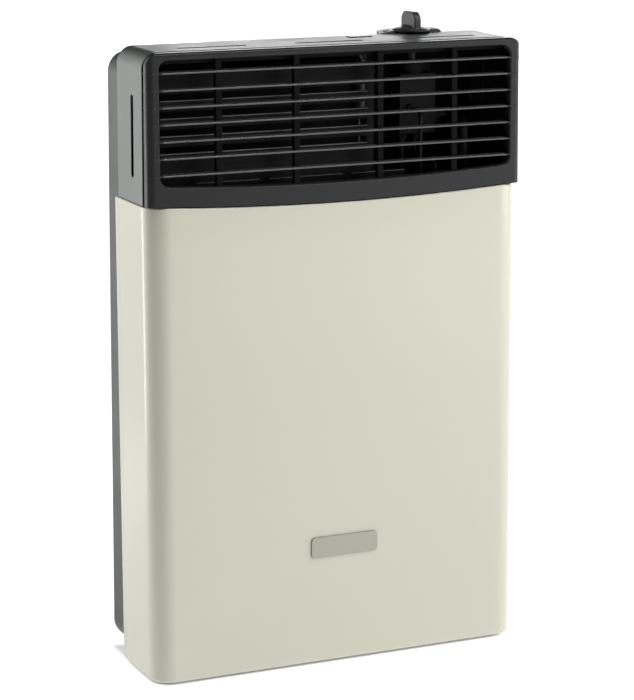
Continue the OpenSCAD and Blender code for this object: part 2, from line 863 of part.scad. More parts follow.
module igniter_lead() {
    cross_z = chamber_z1 + rim + 22;
    color("dimgray") route([at(spark_x + 4, spark_d, spark_z), at(spark_col_x, spark_d, spark_z),
                            at(spark_col_x, spark_d, cross_z), at(spark_col_x, button_d, cross_z),
                            at(button_x, button_d, cross_z), at(button_x, button_d, piezo_z0 - 4)], 1.75, 8);
}

module spark_electrode() {
    color("white") {
        bar_z(spark_x, spark_d, spark_z - 2.5, pilot_plate_z + 18, 3);
        bar_x(spark_x, spark_x + 4, spark_d, spark_z, 2.25);
    }
    color(zinc) bar_z(spark_x, spark_d, pilot_plate_z + 17, pilot_plate_z + 30, 1);
}

module pilot_burner() {
    color(zinc) difference() {
        union() {
            bar_z(pilot_x, pilot_d, lead_z - 4, pilot_plate_z + 24, 4);
            bar_x(pilot_x, pilot_x + 7, pilot_d, lead_z, 3);
        }
        bar_z(pilot_x, pilot_d, pilot_plate_z + 4, pilot_plate_z + 25, 2.8);
        // flame mouths
        block(pilot_x - 1.5, pilot_x + 6, pilot_d - 6, pilot_d + 6, pilot_plate_z + 14, pilot_plate_z + 19);
    }
}

module pilot_bracket() {
    floor_z = chamber_z0 + sheet;
    x0 = pilot_x - 10;
    x1 = spark_x + 8;
    color(zinc) difference() {
        union() {
            block(x0, x1, pilot_d - 4.5, probe_d + 4.5, pilot_plate_z, pilot_plate_z + sheet);
            for (x = [x0, x1 - sheet]) block(x, x + sheet, probe_d + 2, probe_d + 4.5, floor_z, pilot_plate_z + 1);
        }
        bar_z(pilot_x, pilot_d, pilot_plate_z - 1, pilot_plate_z + 3, 4 + seat_gap);
        bar_z(probe_x, probe_d, pilot_plate_z - 1, pilot_plate_z + 3, 2.5 + seat_gap);
        bar_z(spark_x, spark_d, pilot_plate_z - 1, pilot_plate_z + 3, 3 + seat_gap);
    }
}

module pilot_pipe() {
    port_z = gas_port_z + 9;
    color(aluminium) route([at(pilot_x + 7, pilot_d, lead_z), at(pilot_col_x, pilot_d, lead_z),
                            at(pilot_col_x, pilot_d, port_z), at(pilot_col_x, knob_d + valve_half_d + 4, port_z)], 2, 8);
}

module thermocouple() {
    turn_z = valve_z0 - 24;
    color("peru") {
        bar_z(probe_x, probe_d, lead_z - 2, pilot_plate_z + 28, 2.5);
        route([at(probe_x, probe_d, lead_z), at(probe_col_x, probe_d, lead_z), at(probe_col_x, probe_d, turn_z),
               at(probe_col_x, knob_d, turn_z), at(probe_col_x, knob_d, valve_z0 - 8)], 1.25, 8);
    }
}

// ---- burner and gas line -------------------------------------------------

module burner_tube() {
    wall = 1.2;
    slot_run = mixer_x - burner_x0 - 20;
    color(black_enamel) difference() {
        union() {
            bar_x(burner_x0, mixer_x, burner_d, burner_z, burner_r);
            bar_x(mixer_x - 1, burner_x1, burner_d, burner_z, mixer_r);
            bar_x(burner_x1 - 1.5, burner_x1, burner_d, burner_z, mixer_r + 2);
        }
        bar_x(burner_x0 + wall, mixer_x - wall, burner_d, burner_z, burner_r - wall);
        bar_x(mixer_x - 5, burner_x1 - 1.5, burner_d, burner_z, mixer_r - wall);
        bar_x(burner_x1 - 5, burner_x1 + 1, burner_d, burner_z, 3.6);
        // flame slots along the top
        for (i = [0 : flame_slots - 1]) {
            x = burner_x0 + 10 + i * slot_run / flame_slots;
            block(x, x + 1.2, burner_d - 7, burner_d + 7, burner_z + 5, burner_z + burner_r + 1);
        }
        // primary air windows
        for (s = [-1, 1]) block(shutter_x0 + 5, shutter_x0 + 15, burner_d - 4, burner_d + 4,
                                burner_z + (s < 0 ? -mixer_r - 1 : 4), burner_z + (s < 0 ? -4 : mixer_r + 1));
    }
}

module burner_saddles() {
    floor_z = chamber_z0 + sheet;
    color(zinc) for (x = [burner_x0 + 14, mixer_x - 14]) difference() {
        union() {
            block(x, x + 1.5, burner_d - 18, burner_d + 18, floor_z, burner_z - 6);
            block(x, x + 10, burner_d - 18, burner_d + 18, floor_z, floor_z + 1.5);
        }
        bar_x(x - 1, x + 3, burner_d, burner_z, burner_r + seat_gap);
    }
}

module air_shutter() {
    color(zinc) difference() {
        bar_x(shutter_x0, shutter_x0 + shutter_l, burner_d, burner_z, mixer_r + 1.2);
        bar_x(shutter_x0 - 1, shutter_x0 + shutter_l + 1, burner_d, burner_z, mixer_r + run_fit);
        for (s = [-1, 1]) block(shutter_x0 + 5, shutter_x0 + 15, burner_d - 4, burner_d + 4,
                                burner_z + (s < 0 ? -mixer_r - 3 : 4), burner_z + (s < 0 ? -4 : mixer_r + 3));
    }
}

module injector_holder() {
    wall_in = chamber_x1 - sheet;
    color(brass) difference() {
        union() {
            bar_x(burner_x1 + 0.5, wall_in - 6, burner_d, burner_z, 3);
            bar_x(wall_in - 6, chamber_x1 + 2, burner_d, burner_z, 6);
            bar_x(wall_in - 7, wall_in - seat_gap, burner_d, burner_z, 9);
            translate(at(chamber_x1, burner_d, burner_z)) rotate([0, 90, 0]) cylinder(r = 10, h = 8, $fn = 6);
            bar_x(chamber_x1 + 7, chamber_x1 + 14, burner_d, burner_z, 6);
        }
        bar_x(burner_x1 - 1, wall_in - 8, burner_d, burner_z, 0.6);
        bar_x(wall_in - 9, chamber_x1 + 15, burner_d, burner_z, 2.6);
    }
}

module burner_pipe() {
    color(aluminium) pipe([at(burner_col_x, knob_d, valve_z0 - 8), at(burner_col_x, knob_d, burner_z),
                           at(burner_col_x, burner_d, burner_z), at(chamber_x1 + 14, burner_d, burner_z)], 4, 1, 8);
}

module inlet_pipe() {
    color(aluminium) pipe([at(inlet_x, inlet_d, inlet_top()), at(inlet_x, inlet_d, inlet_top() + 34),
                           at(riser_x, inlet_d, inlet_top() + 34), at(riser_x, inlet_d, gas_port_z),
                           at(riser_x, knob_d, gas_port_z), at(knob_x + valve_half_w + 10, knob_d, gas_port_z)],
                          6, 1, inlet_bend);
}

// Height of the inlet fitting's upper end
function inlet_top() = inlet_z0() + inlet_l + 20;
function inlet_z0() = tray_z0 + 10;

module gas_inlet_fitting() {
    z = inlet_z0() + inlet_l;
    color(brass) difference() {
        union() {
            bar_z(inlet_x, inlet_d, inlet_z0(), z + 1, inlet_r);
            translate(at(inlet_x, inlet_d, z)) cylinder(r = 15, h = 10, $fn = 6);
            bar_z(inlet_x, inlet_d, z + 9, inlet_top(), 8);
        }
        bar_z(inlet_x, inlet_d, inlet_z0() - 1, inlet_top() + 1, 5);
    }
}

module inlet_bracket() {
    z = inlet_z0() + inlet_l + 10;
    color(zinc) difference() {
        union() {
            block(inlet_x - 18, inlet_x + 18, sheet, inlet_d + 16, z, z + 1.5);
            block(inlet_x - 18, inlet_x + 18, sheet, 2 * sheet, z, z + 20);
            for (s = [-1, 1]) block(inlet_x + s * 17.25 - 0.75, inlet_x + s * 17.25 + 0.75, sheet, inlet_d + 16, z, z + 8);
        }
        bar_z(inlet_x, inlet_d, z - 1, z + 3, 8 + seat_gap);
    }
}

module pipe_clips() {
    color(zinc) for (z = [clip_z0, clip_z0 + clip_step]) difference() {
        union() {
            block(burner_col_x - 12, burner_col_x + 12, sheet, 2 * sheet, z - 5, z + 5);
            block(burner_col_x - 7, burner_col_x + 7, sheet, knob_d, z - 5, z + 5);
            bar_z(burner_col_x, knob_d, z - 5, z + 5, 7);
        }
        bar_z(burner_col_x, knob_d, z - 6, z + 6, 4 + seat_gap);
        block(burner_col_x - 4.5, burner_col_x + 4.5, 3 * sheet, knob_d - 8, z - 6, z + 6);
    }
}

// ---- combustion chamber and flue -----------------------------------------

module chamber_view(grow) {
    translate([chamber_x0 - grow, chamber_z0 - grow]) square([chamber_w + 2 * grow, chamber_h + 2 * grow]);
}

module port_view() { translate([flue_x - port_w / 2, port_z0]) square([port_w, port_h]); }

module chamber_bolt_places() {
    x0 = chamber_x0 - rim / 2;
    x1 = chamber_x1 + rim / 2;
    z0 = chamber_z0 - rim / 2;
    z1 = chamber_z1 + rim / 2;
    for (i = [0 : 2], z = [z0, z1]) translate([x0 + i * (x1 - x0) / 2, 0, z]) children();
    for (i = [1 : 3], x = [x0, x1]) translate([x, 0, z0 + i * (z1 - z0) / 4]) children();
}

module chamber_body() {
    color(black_enamel) difference() {
        union() {
            slab(chamber_rear, chamber_front) chamber_view(0);
            slab(chamber_front - sheet, chamber_front) chamber_view(rim);
        }
        slab(chamber_rear + sheet, chamber_front + 1) chamber_view(-sheet);
        bar_d(flue_x, flue_z, chamber_rear - 1, chamber_rear + 2 * sheet, flue_r + seat_gap);
        slab(chamber_rear - 1, chamber_rear + 2 * sheet) port_view();
        bar_x(chamber_x1 - 5, chamber_x1 + 5, burner_d, burner_z, 6 + seat_gap);
        bar_x(chamber_x1 - 5, chamber_x1 + 5, pilot_d, lead_z, 2 + seat_gap);
        bar_x(chamber_x1 - 5, chamber_x1 + 5, probe_d, lead_z, 1.25 + seat_gap);
        bar_x(chamber_x1 - 5, chamber_x1 + 5, spark_d, spark_z, 1.75 + seat_gap);
        chamber_bolt_places() bar_d(0, 0, chamber_front - 5, chamber_front + 1, bolt_r_chamber + bolt_play);
    }
}

module chamber_gasket() {
    color("whitesmoke") difference() {
        slab(chamber_front, plate_d0) difference() {
            chamber_view(rim);
            chamber_view(0);
        }
        chamber_bolt_places() bar_d(0, 0, chamber_front - 1, plate_d0 + 1, bolt_r_chamber + bolt_play);
    }
}

module chamber_front_plate() {
    color(black_enamel) difference() {
        slab(plate_d0, plate_d1) chamber_view(rim);
        bar_d(window_x, window_z, plate_d0 - 1, plate_d1 + 1, window_r);
        chamber_bolt_places() bar_d(0, 0, plate_d0 - 1, plate_d1 + 1, bolt_r_chamber + bolt_play);
    }
}

module chamber_screws() {
    color(zinc) chamber_bolt_places() {
        bar_d(0, 0, chamber_front - sheet - 5, plate_d1, bolt_r_chamber);
        bar_d(0, 0, plate_d1, plate_d1 + 2.4, 3.6);
    }
}

module chamber_nuts() {
    color(zinc) chamber_bolt_places() difference() {
        translate([0, sheet + 3 - chamber_front, 0]) rotate([90, 0, 0]) cylinder(r = 4, h = 3, $fn = 6);
        bar_d(0, 0, chamber_front - 10, chamber_front, bolt_r_chamber + run_fit);
    }
}

module sight_glass() {
    color([0.85, 0.8, 0.65, 0.5]) bar_d(window_x, window_z, plate_d1, plate_d1 + 1, glass_r);
}

module window_frame() {
    color(zinc) difference() {
        bar_d(window_x, window_z, plate_d1, plate_d1 + 2, frame_r);
        bar_d(window_x, window_z, plate_d1 - 1, plate_d1 + 1, glass_r + seat_gap);
        bar_d(window_x, window_z, plate_d1, plate_d1 + 3, window_r);
    }
}

module flue_outlet() {
    flange_d = chamber_rear + sheet;
    color(black_enamel) difference() {
        union() {
            bar_d(flue_x, flue_z, spigot_l - flue_out, flange_d + sheet, flue_r);
            bar_d(flue_x, flue_z, -flue_out, flange_d, flue_r - swage);
            bar_d(flue_x, flue_z, flange_d, flange_d + sheet, flue_r + 10);
        }
        bar_d(flue_x, flue_z, -flue_out - 1, flange_d + 5, flue_r - swage - 1.2);
    }
}

module duct_gasket() {
    color("whitesmoke") difference() {
        slab(duct_d1, chamber_rear) translate([duct_x0 + 3, duct_z0 + 2])
            square([duct_x1 - duct_x0 - 6, chamber_z1 - duct_z0 - 4]);
        bar_d(flue_x, flue_z, duct_d1 - 1, chamber_rear + 1, flue_r + seat_gap);
        slab(duct_d1 - 1, chamber_rear + 1) port_view();
    }
}

// Pan that leads fresh air from the collar down to the burner
module air_duct_box() {
    color(zinc) difference() {
        union() {
            block(duct_x0, duct_x1, duct_d0, duct_d1, duct_z0, duct_z1);
            block(duct_x0 - 10, duct_x1 + 10, duct_d0, duct_d0 + sheet, duct_z0, duct_z1);
        }
        block(duct_x0 + sheet, duct_x1 - sheet, duct_d0 - 1, duct_d1 - sheet, duct_z0 + sheet, duct_z1 - sheet);
        bar_d(flue_x, flue_z, duct_d1 - 5, duct_d1 + 1, flue_r + seat_gap);
        slab(duct_d1 - 5, duct_d1 + 1) port_view();
    }
}

module air_intake_collar() {
    color(zinc) difference() {
        union() {
            bar_d(flue_x, flue_z, spigot_l - collar_out, 2 * sheet, collar_r);
            bar_d(flue_x, flue_z, -collar_out, 0, collar_r - swage);
            bar_d(flue_x, flue_z, sheet, 2 * sheet, collar_r + 12);
        }
        bar_d(flue_x, flue_z, -collar_out - 1, 3 * sheet, collar_r - swage - 1.2);
    }
}

// Angles that tie the chamber's sides to the back panel
module chamber_brackets() {
    color(zinc) for (z = [chamber_z0 + bracket_low, chamber_z1 - bracket_high]) {
        block(chamber_x0 - 1.5, chamber_x0, sheet, chamber_rear + 30, z, z + bracket_h);
        block(chamber_x0 - 20, chamber_x0, sheet, 2 * sheet, z, z + bracket_h);
        block(chamber_x1, chamber_x1 + 1.5, sheet, chamber_rear + 30, z, z + bracket_h);
        block(chamber_x1, chamber_x1 + 16, sheet, 2 * sheet, z, z + bracket_h);
    }
}

// Slotted guard over the chamber that turns the warm air out through the grille
module air_deflector() {
    x0 = 15 - half_w;
    x1 = button_x - 2;
    foot_z = chamber_z1 + rim;
    top = body_h - 20;
    slots_x0 = x0 + guard_side;
    slots_x1 = x1 - guard_side;
    color(black_enamel) {
        difference() {
            union() {
                block(x0, x1, plate_d1 - 20, plate_d1 + sheet, foot_z, foot_z + sheet);
                block(x0, x1, plate_d1, plate_d1 + sheet, foot_z, top);
                block(x0, guard_sill_x1, plate_d1, plate_d1 + sheet, foot_z, guard_sill_z);
                // turned-out tabs of the sill
                for (t = guard_tabs) block(guard_sill_x1 + t[0], guard_sill_x1 + t[1], plate_d1,
                                           plate_d1 + sheet + guard_lip, guard_sill_z - sheet, guard_sill_z);
                block(x0, button_x - 16, tray_d + 1, plate_d1 + sheet, top - sheet, top);
                // pressed lips under the slots
                for (i = [0 : guard_slots - 1])
                    block(slots_x0, slots_x1, plate_d1, plate_d1 + sheet + guard_lip,
                          top - guard_first - i * guard_pitch - sheet, top - guard_first - i * guard_pitch);
            }
            for (i = [0 : guard_slots - 1])
                block(slots_x0, slots_x1, plate_d1 - 1, plate_d1 + sheet + guard_lip + 1,
                      top - guard_first - i * guard_pitch, top - guard_first - i * guard_pitch + guard_slot);
        }
    }
}

// ---- nodes ---------------------------------------------------------------

placed() back_panel();
placed() upper_housing();
placed() grille();
placed() front_cover();
placed() badge_plate();
placed() side_straps();
placed() cover_clips();
placed() grille_screws();
placed() control_bezel();
placed() bezel_screws();
placed() control_knob();
placed() valve_spindle();
placed() valve_spring();
placed() valve_plug();
placed() gas_valve_body();
placed() valve_bracket();
placed() valve_screws();
placed() igniter_button();
placed() igniter_spring();
placed() igniter_body();
placed() igniter_bracket();
placed() igniter_lead();
placed() spark_electrode();
placed() pilot_burner();
placed() pilot_bracket();
placed() pilot_pipe();
placed() thermocouple();
placed() burner_tube();
placed() burner_saddles();
placed() air_shutter();
placed() injector_holder();
placed() burner_pipe();
placed() inlet_pipe();
placed() gas_inlet_fitting();
placed() inlet_bracket();
placed() pipe_clips();
placed() chamber_body();
placed() chamber_gasket();
placed() chamber_front_plate();
placed() chamber_screws();
placed() chamber_nuts();
placed() sight_glass();
placed() window_frame();
placed() flue_outlet();
placed() duct_gasket();
placed() air_duct_box();
placed() air_intake_collar();
placed() chamber_brackets();
placed() air_deflector();
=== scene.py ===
"""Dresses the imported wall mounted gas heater: its painted casing, moulded grille, controls and studio."""

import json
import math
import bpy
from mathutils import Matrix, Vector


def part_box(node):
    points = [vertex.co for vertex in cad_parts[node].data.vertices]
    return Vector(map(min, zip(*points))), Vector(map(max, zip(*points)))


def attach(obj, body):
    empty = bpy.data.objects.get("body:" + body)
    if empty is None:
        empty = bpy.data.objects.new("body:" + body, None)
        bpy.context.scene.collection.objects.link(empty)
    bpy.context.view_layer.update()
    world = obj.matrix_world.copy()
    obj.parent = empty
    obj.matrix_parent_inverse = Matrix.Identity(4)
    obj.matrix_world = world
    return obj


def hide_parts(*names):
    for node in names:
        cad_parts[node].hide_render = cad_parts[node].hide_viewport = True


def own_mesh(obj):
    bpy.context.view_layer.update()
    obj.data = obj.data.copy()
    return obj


bl_info = {
    "name": "Wall Mounted Gas Heater",
    "version": (1, 0, 0),
    "blender": (4, 5, 0),
    "location": "3D View > Sidebar > Heater",
    "description": "Builds the visible pieces and finishes of a wall mounted gas heater on its packed frame",
    "category": "Object",
}

import bmesh
import bpy
from bpy.props import FloatProperty, FloatVectorProperty, IntProperty, PointerProperty
from mathutils import Matrix, Vector

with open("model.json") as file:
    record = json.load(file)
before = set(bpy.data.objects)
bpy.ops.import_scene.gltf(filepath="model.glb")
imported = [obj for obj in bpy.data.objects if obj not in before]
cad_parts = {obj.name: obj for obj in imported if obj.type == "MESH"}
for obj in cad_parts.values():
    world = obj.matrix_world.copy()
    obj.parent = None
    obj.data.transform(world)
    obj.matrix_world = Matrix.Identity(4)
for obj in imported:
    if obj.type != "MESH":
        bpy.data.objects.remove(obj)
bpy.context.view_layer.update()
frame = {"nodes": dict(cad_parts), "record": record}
panel_low, panel_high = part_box("back_panel")
cover_low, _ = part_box("front_cover")
_, grille_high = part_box("grille")

# The floor of the casing is the cover's bottom edge; heights below are measured from it.
FOOT = cover_low.z
TOP = grille_high.z - FOOT


def at(x, depth, height):
    """A point from its sideways place, its depth from the wall and its height over the cover's foot."""
    return Vector((x, -depth, height + FOOT))


# ---- sizes and colours ----


def metres(name, description, default):
    """A length in metres that a user may change."""
    return FloatProperty(name=name, description=description, default=default, unit="LENGTH")


def colour(name, default, description):
    """A colour that a user may change."""
    return FloatVectorProperty(
        name=name, description=description, default=default, size=3, min=0, max=1, subtype="COLOR"
    )


class CasingSizes(bpy.types.PropertyGroup):
    half_width: metres("Half Width", "Half of the casing's width", 0.201)
    front: metres("Front Depth", "Depth of the front face at the very top", 0.1105)
    lean: FloatProperty(name="Lean", description="Lean of the front", default=math.radians(1.3), subtype="ANGLE")
    cover_corner: metres("Cover Corner", "Corner radius of the cover", 0.022)
    cover_rear: metres("Cover Rear", "Depth of the cover's rear edge", 0.020)
    hem: metres("Hem", "Bend radius of the cover's foot", 0.0028)
    rolled_edge: metres("Rolled Edge", "Bend radius of the cover's top edge", 0.0018)
    sheet: metres("Sheet", "Thickness of the sheet steel", 0.0012)
    joint: metres("Joint Height", "Height of the side joint", 0.4736)
    joint_gap: metres("Joint Gap", "Open joint under the head", 0.001)
    sag: metres("Sag", "Drop of the curved joint", 0.0058)
    sag_half: metres("Sag Half Width", "Half width of the curve", 0.18)


class ShellSizes(bpy.types.PropertyGroup):
    corner: metres("Head Corner", "Corner radius of the head", 0.016)
    rear: metres("Head Rear", "Depth of the head's rear edge", 0.032)
    front: metres("Head Front", "Depth of the head's flange", 0.097)
    flange: metres("Flange", "Width of the front flange", 0.012)
    slot: metres("Slot Length", "Length of a top slot", 0.074)
    slot_width: metres("Slot Width", "Width of a slot", 0.007)
    slot_pitch: metres("Slot Pitch", "Distance between slots", 0.125)
    panel_corner: metres("Panel Corner", "Corner radius of the back panel", 0.020)


class GrilleSizes(bpy.types.PropertyGroup):
    rear: metres("Rear Depth", "Depth of the grille's rear face", 0.099)
    corner: metres("Front Corner", "Corner radius seen from the front", 0.013)
    edge: metres("Edge", "Corner radius seen from above", 0.007)
    rail: metres("Rail", "Height of the top rail", 0.0075)
    post: metres("Post", "Width of an end post", 0.013)
    shadow: metres("Shadow Gap", "Extra gap behind its edge", 0.0026)
    flare: metres("Flare", "Edge radius of the window", 0.003)
    proud: metres("Proud", "How far the fins stand before the posts", 0.0003)
    band: metres("Band", "Height of the curved band", 0.0194)
    fins: IntProperty(name="Fins", description="Number of fins", default=7, min=1)
    pitch: metres("Fin Pitch", "Distance between fins", 0.01624)
    first: metres("First Fin", "Distance from the top to the first fin", 0.01945)
    fin: metres("Fin Thickness", "Thickness of a fin", 0.0018)
    rib: metres("Rib Width", "Width of a rib", 0.0066)
    rib_off: metres("Rib Shift", "Sideways shift of the ribs", 0.0016)
    rib_set: metres("Rib Setback", "Setback of the ribs", 0.006)
    rib_in: metres("Inner Ribs", "Distance from the middle", 0.045)
    rib_out: metres("Outer Ribs", "Distance from the middle", 0.127)


class KnobSizes(bpy.types.PropertyGroup):
    x: metres("Place", "Sideways place of the knob", 0.118)
    depth: metres("Depth", "Depth of the knob's axis", 0.029)
    radius: metres("Skirt Radius", "Radius of the skirt", 0.01875)
    foot: metres("Skirt Foot", "Height of the skirt over the top", 0.0026)
    height: metres("Height", "Height of the grip over the top", 0.0215)
    grip: metres("Grip Thickness", "Thickness of the grip", 0.0075)
    length: metres("Grip Length", "Length from front to back", 0.031)
    shoulder: metres("Grip Shoulder", "Radius of its shoulders", 0.009)


class Finishes(bpy.types.PropertyGroup):
    ivory: colour("Ivory Paint", (0.54, 0.535, 0.445), "Stove paint of the front cover")
    slate: colour("Dark Paint", (0.068, 0.078, 0.069), "Stove paint of the head")
    # Darker than the head's paint: painted shade on the back panel, which sits back behind the head and the cover
    panel: colour("Panel Paint", (0.021, 0.027, 0.022), "Stove paint of the back panel")
    black: colour("Black Plastic", (0.018, 0.018, 0.018), "Heat resistant plastic of the grille")
    # Lighter than the grille's black plastic: paints the bright highlights along the fins' front edges
    fins: colour("Fin Plastic", (0.065, 0.065, 0.065), "Smooth plastic of the fins")
    # Darker than the grille's black plastic: paints the shade that falls on the recessed ribs between the fins
    ribs: colour("Rib Plastic", (0.007, 0.007, 0.007), "Matt plastic of the ribs")
    knob: colour("Knob Plastic", (0.036, 0.038, 0.036), "Plastic of the knob and its bezel")
    plate: colour("Bare Plate", (0.34, 0.34, 0.29), "Lacquered metal of the bare badge plate")
    enamel: colour("Black Enamel", (0.006, 0.006, 0.006), "Enamel of the chamber and the guard")
    zinc: colour("Zinc", (0.5, 0.51, 0.52), "Zinc plating of the screws")
    # Near black rather than zinc grey: painted shade on the brackets inside the casing
    bracket: colour("Bracket Zinc", (0.012, 0.012, 0.012), "Dark zinc of the brackets")


# Holes and slots of the sheets: sideways place x, depth d, height h over the cover's foot and radius r, in metres
SLOT_X, SLOT_D = 0.005, 0.075
SIDE_SLOT_D, SIDE_SLOT_H, SIDE_SLOT_EXTRA = 0.071, 0.5376, 0.006
BUTTON_X, BUTTON_D = (0.0395, 0.0645), (0.0395, 0.0505)
WELL_R, SPINDLE_R, SCREW_R = 0.0223, 0.006, 0.00165
GRILLE_SCREW_X, GRILLE_SCREW_H = 0.1927, (0.4996, 0.59)
BEZEL_SCREW_X, BEZEL_SCREW_D = (0.0915, 0.1445), 0.025
BOLT_X, BOLT_H, BOLT_R = 0.183, (0.11, 0.55), 0.004
FLUE_X, FLUE_H, FLUE_R = -0.04, 0.395, 0.0503
FLANGE_CORNER, OPENING_CORNER, LIP_H, PLAY = 0.004, 0.009, 0.03, 0.0003
# Reach of a cut past a sheet, depths that take in all of the front, and bounds past the head
PAST, FRONT_CUT = 0.01, (0.05, 0.2)
LOW, HIGH, WIDE = 0.3, 0.7, 0.3
# Bevel widths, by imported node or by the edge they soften
EDGES = {
    "badge_plate": 0.0005, "control_bezel": 0.0006, "igniter_button": 0.0008, "air_deflector": 0.0003,
    "frame": 0.0005, "grip": 0.0013, "rib": 0.0008,
    "head_fold": 0.0006, "head_cut": 0.0003, "panel_fold": 0.0022, "panel_cut": 0.0004,
}

# Height that the skirt's profile adds to its foot, by its radius or by the distance from its rim
SKIRT_RIM = ((0.0016, 0.0008), (0.0014, 0.0), (0.0, 0.0), (0.0, 0.0009), (0.0008, 0.0016))
SKIRT_TOP = ((0.0150, 0.0026), (0.0115, 0.0034), (0.0085, 0.0046), (0.0, 0.0050))

# Screws: node, shank radius, length, head radius, head height and the way that the head faces
UP, OUT, BACK = (0.0, 0.0, 0.0), (math.pi / 2, 0.0, 0.0), (-math.pi / 2, 0.0, 0.0)
SCREWS = (
    ("grille_screws", 0.00145, 0.009, 0.0032, 0.002, BACK),
    ("bezel_screws", 0.0015, 0.010, 0.0025, 0.002, UP),
    ("valve_screws", 0.0019, 0.009, 0.0036, 0.0024, BACK),
    ("chamber_screws", 0.0019, 0.009, 0.0036, 0.0024, OUT),
)
# Crown radius, arms' length, arms' width and height of the recess, as shares of a screw's head
CROWN, ARM, ARM_WIDTH, RECESS = 0.62, 1.05, 0.24, 0.45

# Lights: name, bearing in degrees to the right of the front, distance, width, height, middle's height and power
LIGHTS = (
    ("key_softbox", 57, 2.6, 2.0, 2.2, 1.2, 47.5),
    ("fill_softbox", 30, 1.3, 0.8, 1.4, 0.8, 3.4),
    ("left_strip", -131, 1.1, 0.24, 1.5, 0.75, 7.2),
    ("corner_strip", -112, 1.16, 0.16, 1.5, 0.7, 2.2),
    ("rear_sweep", 130.5, 5.1, 6.0, 2.5, 1.23, 182),
    ("left_sweep", -143, 5.3, 4.4, 4.4, 2.2, 59),
    ("top_softbox", 30, 1.3, 0.7, 0.7, 2.4, 22),
)
MIDDLE_DEPTH, AIM_HEIGHT = 0.05, 1.3
# Glow of the floor behind and before the heater: start and end along y, and the glow at each
SWEEPS = ((-6.0, -3.0, 0.0, 0.72), (2.0, 5.0, 0.0, 0.35))
# Dips in that glow are painted shadows, a thin dark line of shade along the foot and a soft shadow behind its left
# corner: middle and half length along x and y, start and end of the fade, and least glow
DIPS = (
    (0.0, 0.177, -0.07, 0.0275, 0.018, 0.024, 0.2),
    (-0.188, 0.0, -0.012, 0.022, 0.002, 0.0115, 0.4),
)
# The photograph's view, fitted to the heater's edges: yaw, pitch and roll in degrees, place in metres, lens in pixels
VIEW_TURNS, VIEW_PLACE = (24.995, 12.816, 0.317), (-1.095, -2.4099, 0.567)
VIEW_LENS, VIEW_HEIGHT, SENSOR = 2630.6, 700, 36.0


MICRON = 1e-6
SPECULAR = "Specular IOR Level"
# Finishes by the record's slot, and then the ones that only some pieces take: name, colour or the user's colour,
# roughness, metallic, tone, clouds, grain, relief in micrometres, and what else it sets
COATS = {
    "dark_paint": ("dark_stove_paint", "slate", 0.42, 0, 0.06, 16, 1800, 15, {"IOR": 1.55}),
    "cream_paint": ("ivory_stove_paint", "ivory", 0.22, 0, 0.012, 9, 1400, 6, {"IOR": 1.5}),
    "black_plastic": ("black_moulding", "black", 0.32, 0, 0.08, 22, 2600, 12, {SPECULAR: 0.2}),
    "grey_plastic": ("grey_moulding", "knob", 0.36, 0, 0.05, 40, 2600, 10, {SPECULAR: 0.35}),
    "badge_metal": ("brushed_plate", "plate", 0.42, 0.75, 0.1, 60, 900, 6, {}, (0.05, 1, 3)),
    # Brackets near black: painted shade inside the casing
    "zinc_steel": ("dark_passivated_zinc", "bracket", 0.55, 0.6, 0.12, 90, 2200, 6),
    "black_enamel": ("black_enamel_coat", "enamel", 0.6, 0, 0.15, 25, 1500, 10, {SPECULAR: 0.12}),
    # Spring steel near black: painted shade in the well under the knob
    "spring_steel": ("spring_wire", (0.04, 0.04, 0.04), 0.5, 1, 0.05, 120, 3000, 20),
    "brass": ("turned_brass", (0.62, 0.44, 0.17), 0.28, 1, 0.05, 80, 2500, 8),
    # Valve casting and pipes near black: painted shade inside the casing
    "cast_aluminium": ("dark_casting", (0.014, 0.014, 0.014), 0.7, 0, 0.05, 60, 1100, 60, {SPECULAR: 0.15}),
    "pipe_aluminium": ("drawn_tube", (0.03, 0.03, 0.03), 0.5, 1, 0.05, 50, 1800, 20),
    "copper": ("dull_copper", (0.07, 0.04, 0.026), 0.5, 1, 0.05, 60, 1800, 20),
    "cable_rubber": ("cable_sleeve", (0.02, 0.02, 0.02), 0.55, 0, 0.05, 60, 2500, 20),
    "ceramic": ("white_insulator", (0.8, 0.79, 0.74), 0.2, 0, 0.05, 50, 1500, 5),
    "fibre_seal": ("pressed_fibre", (0.7, 0.69, 0.64), 0.95, 0, 0.15, 150, 1200, 200),
    "window_glass": ("heat_glass", (0.8, 0.76, 0.62), 0.08, 0, 0.03, 30, 900, 2, {"Transmission Weight": 0.85}),
    # The panel's darker paint is painted shade
    "panel": ("panel_stove_paint", "panel", 0.42, 0, 0.06, 16, 1800, 15, {SPECULAR: 0.34}),
    # The fins' lighter colour is a painted highlight along their front edges
    "fins": ("fin_moulding", "fins", 0.28, 0, 0.06, 22, 2600, 4, {SPECULAR: 0.5}),
    # The ribs' near-black colour is painted shade in the recess behind the fins
    "ribs": ("rib_moulding", "ribs", 0.6, 0, 0.08, 22, 2600, 10, {SPECULAR: 0.04}),
    # Near-black finish for the insides, the rim behind the seam and the straps behind the joint: painted shade where
    # little light reaches
    "lining": ("black_lining", (0.008, 0.008, 0.008), 0.8, 0, 0.05, 20, 1500, 10, {SPECULAR: 0.15}),
    # Lighter enamel for the guard's lips: a painted highlight where light catches their front and top faces
    "lit_lip_edge": ("worn_enamel", (0.11, 0.11, 0.11), 0.3, 0, 0.05, 60, 2500, 8),
    "screws": ("zinc_plating", "zinc", 0.36, 1, 0.12, 90, 2200, 6),
    # Near-black steel on the valve spindle: painted shade in the well under the knob
    "spindle": ("blackened_steel", (0.01, 0.01, 0.01), 0.7, 0, 0.05, 60, 2500, 8, {SPECULAR: 0.1}),
    "floor": ("pale_floor", (0.8, 0.8, 0.8), 0.9, 0, 0.01, 2, 900, 0),
}


# ---- node trees ----


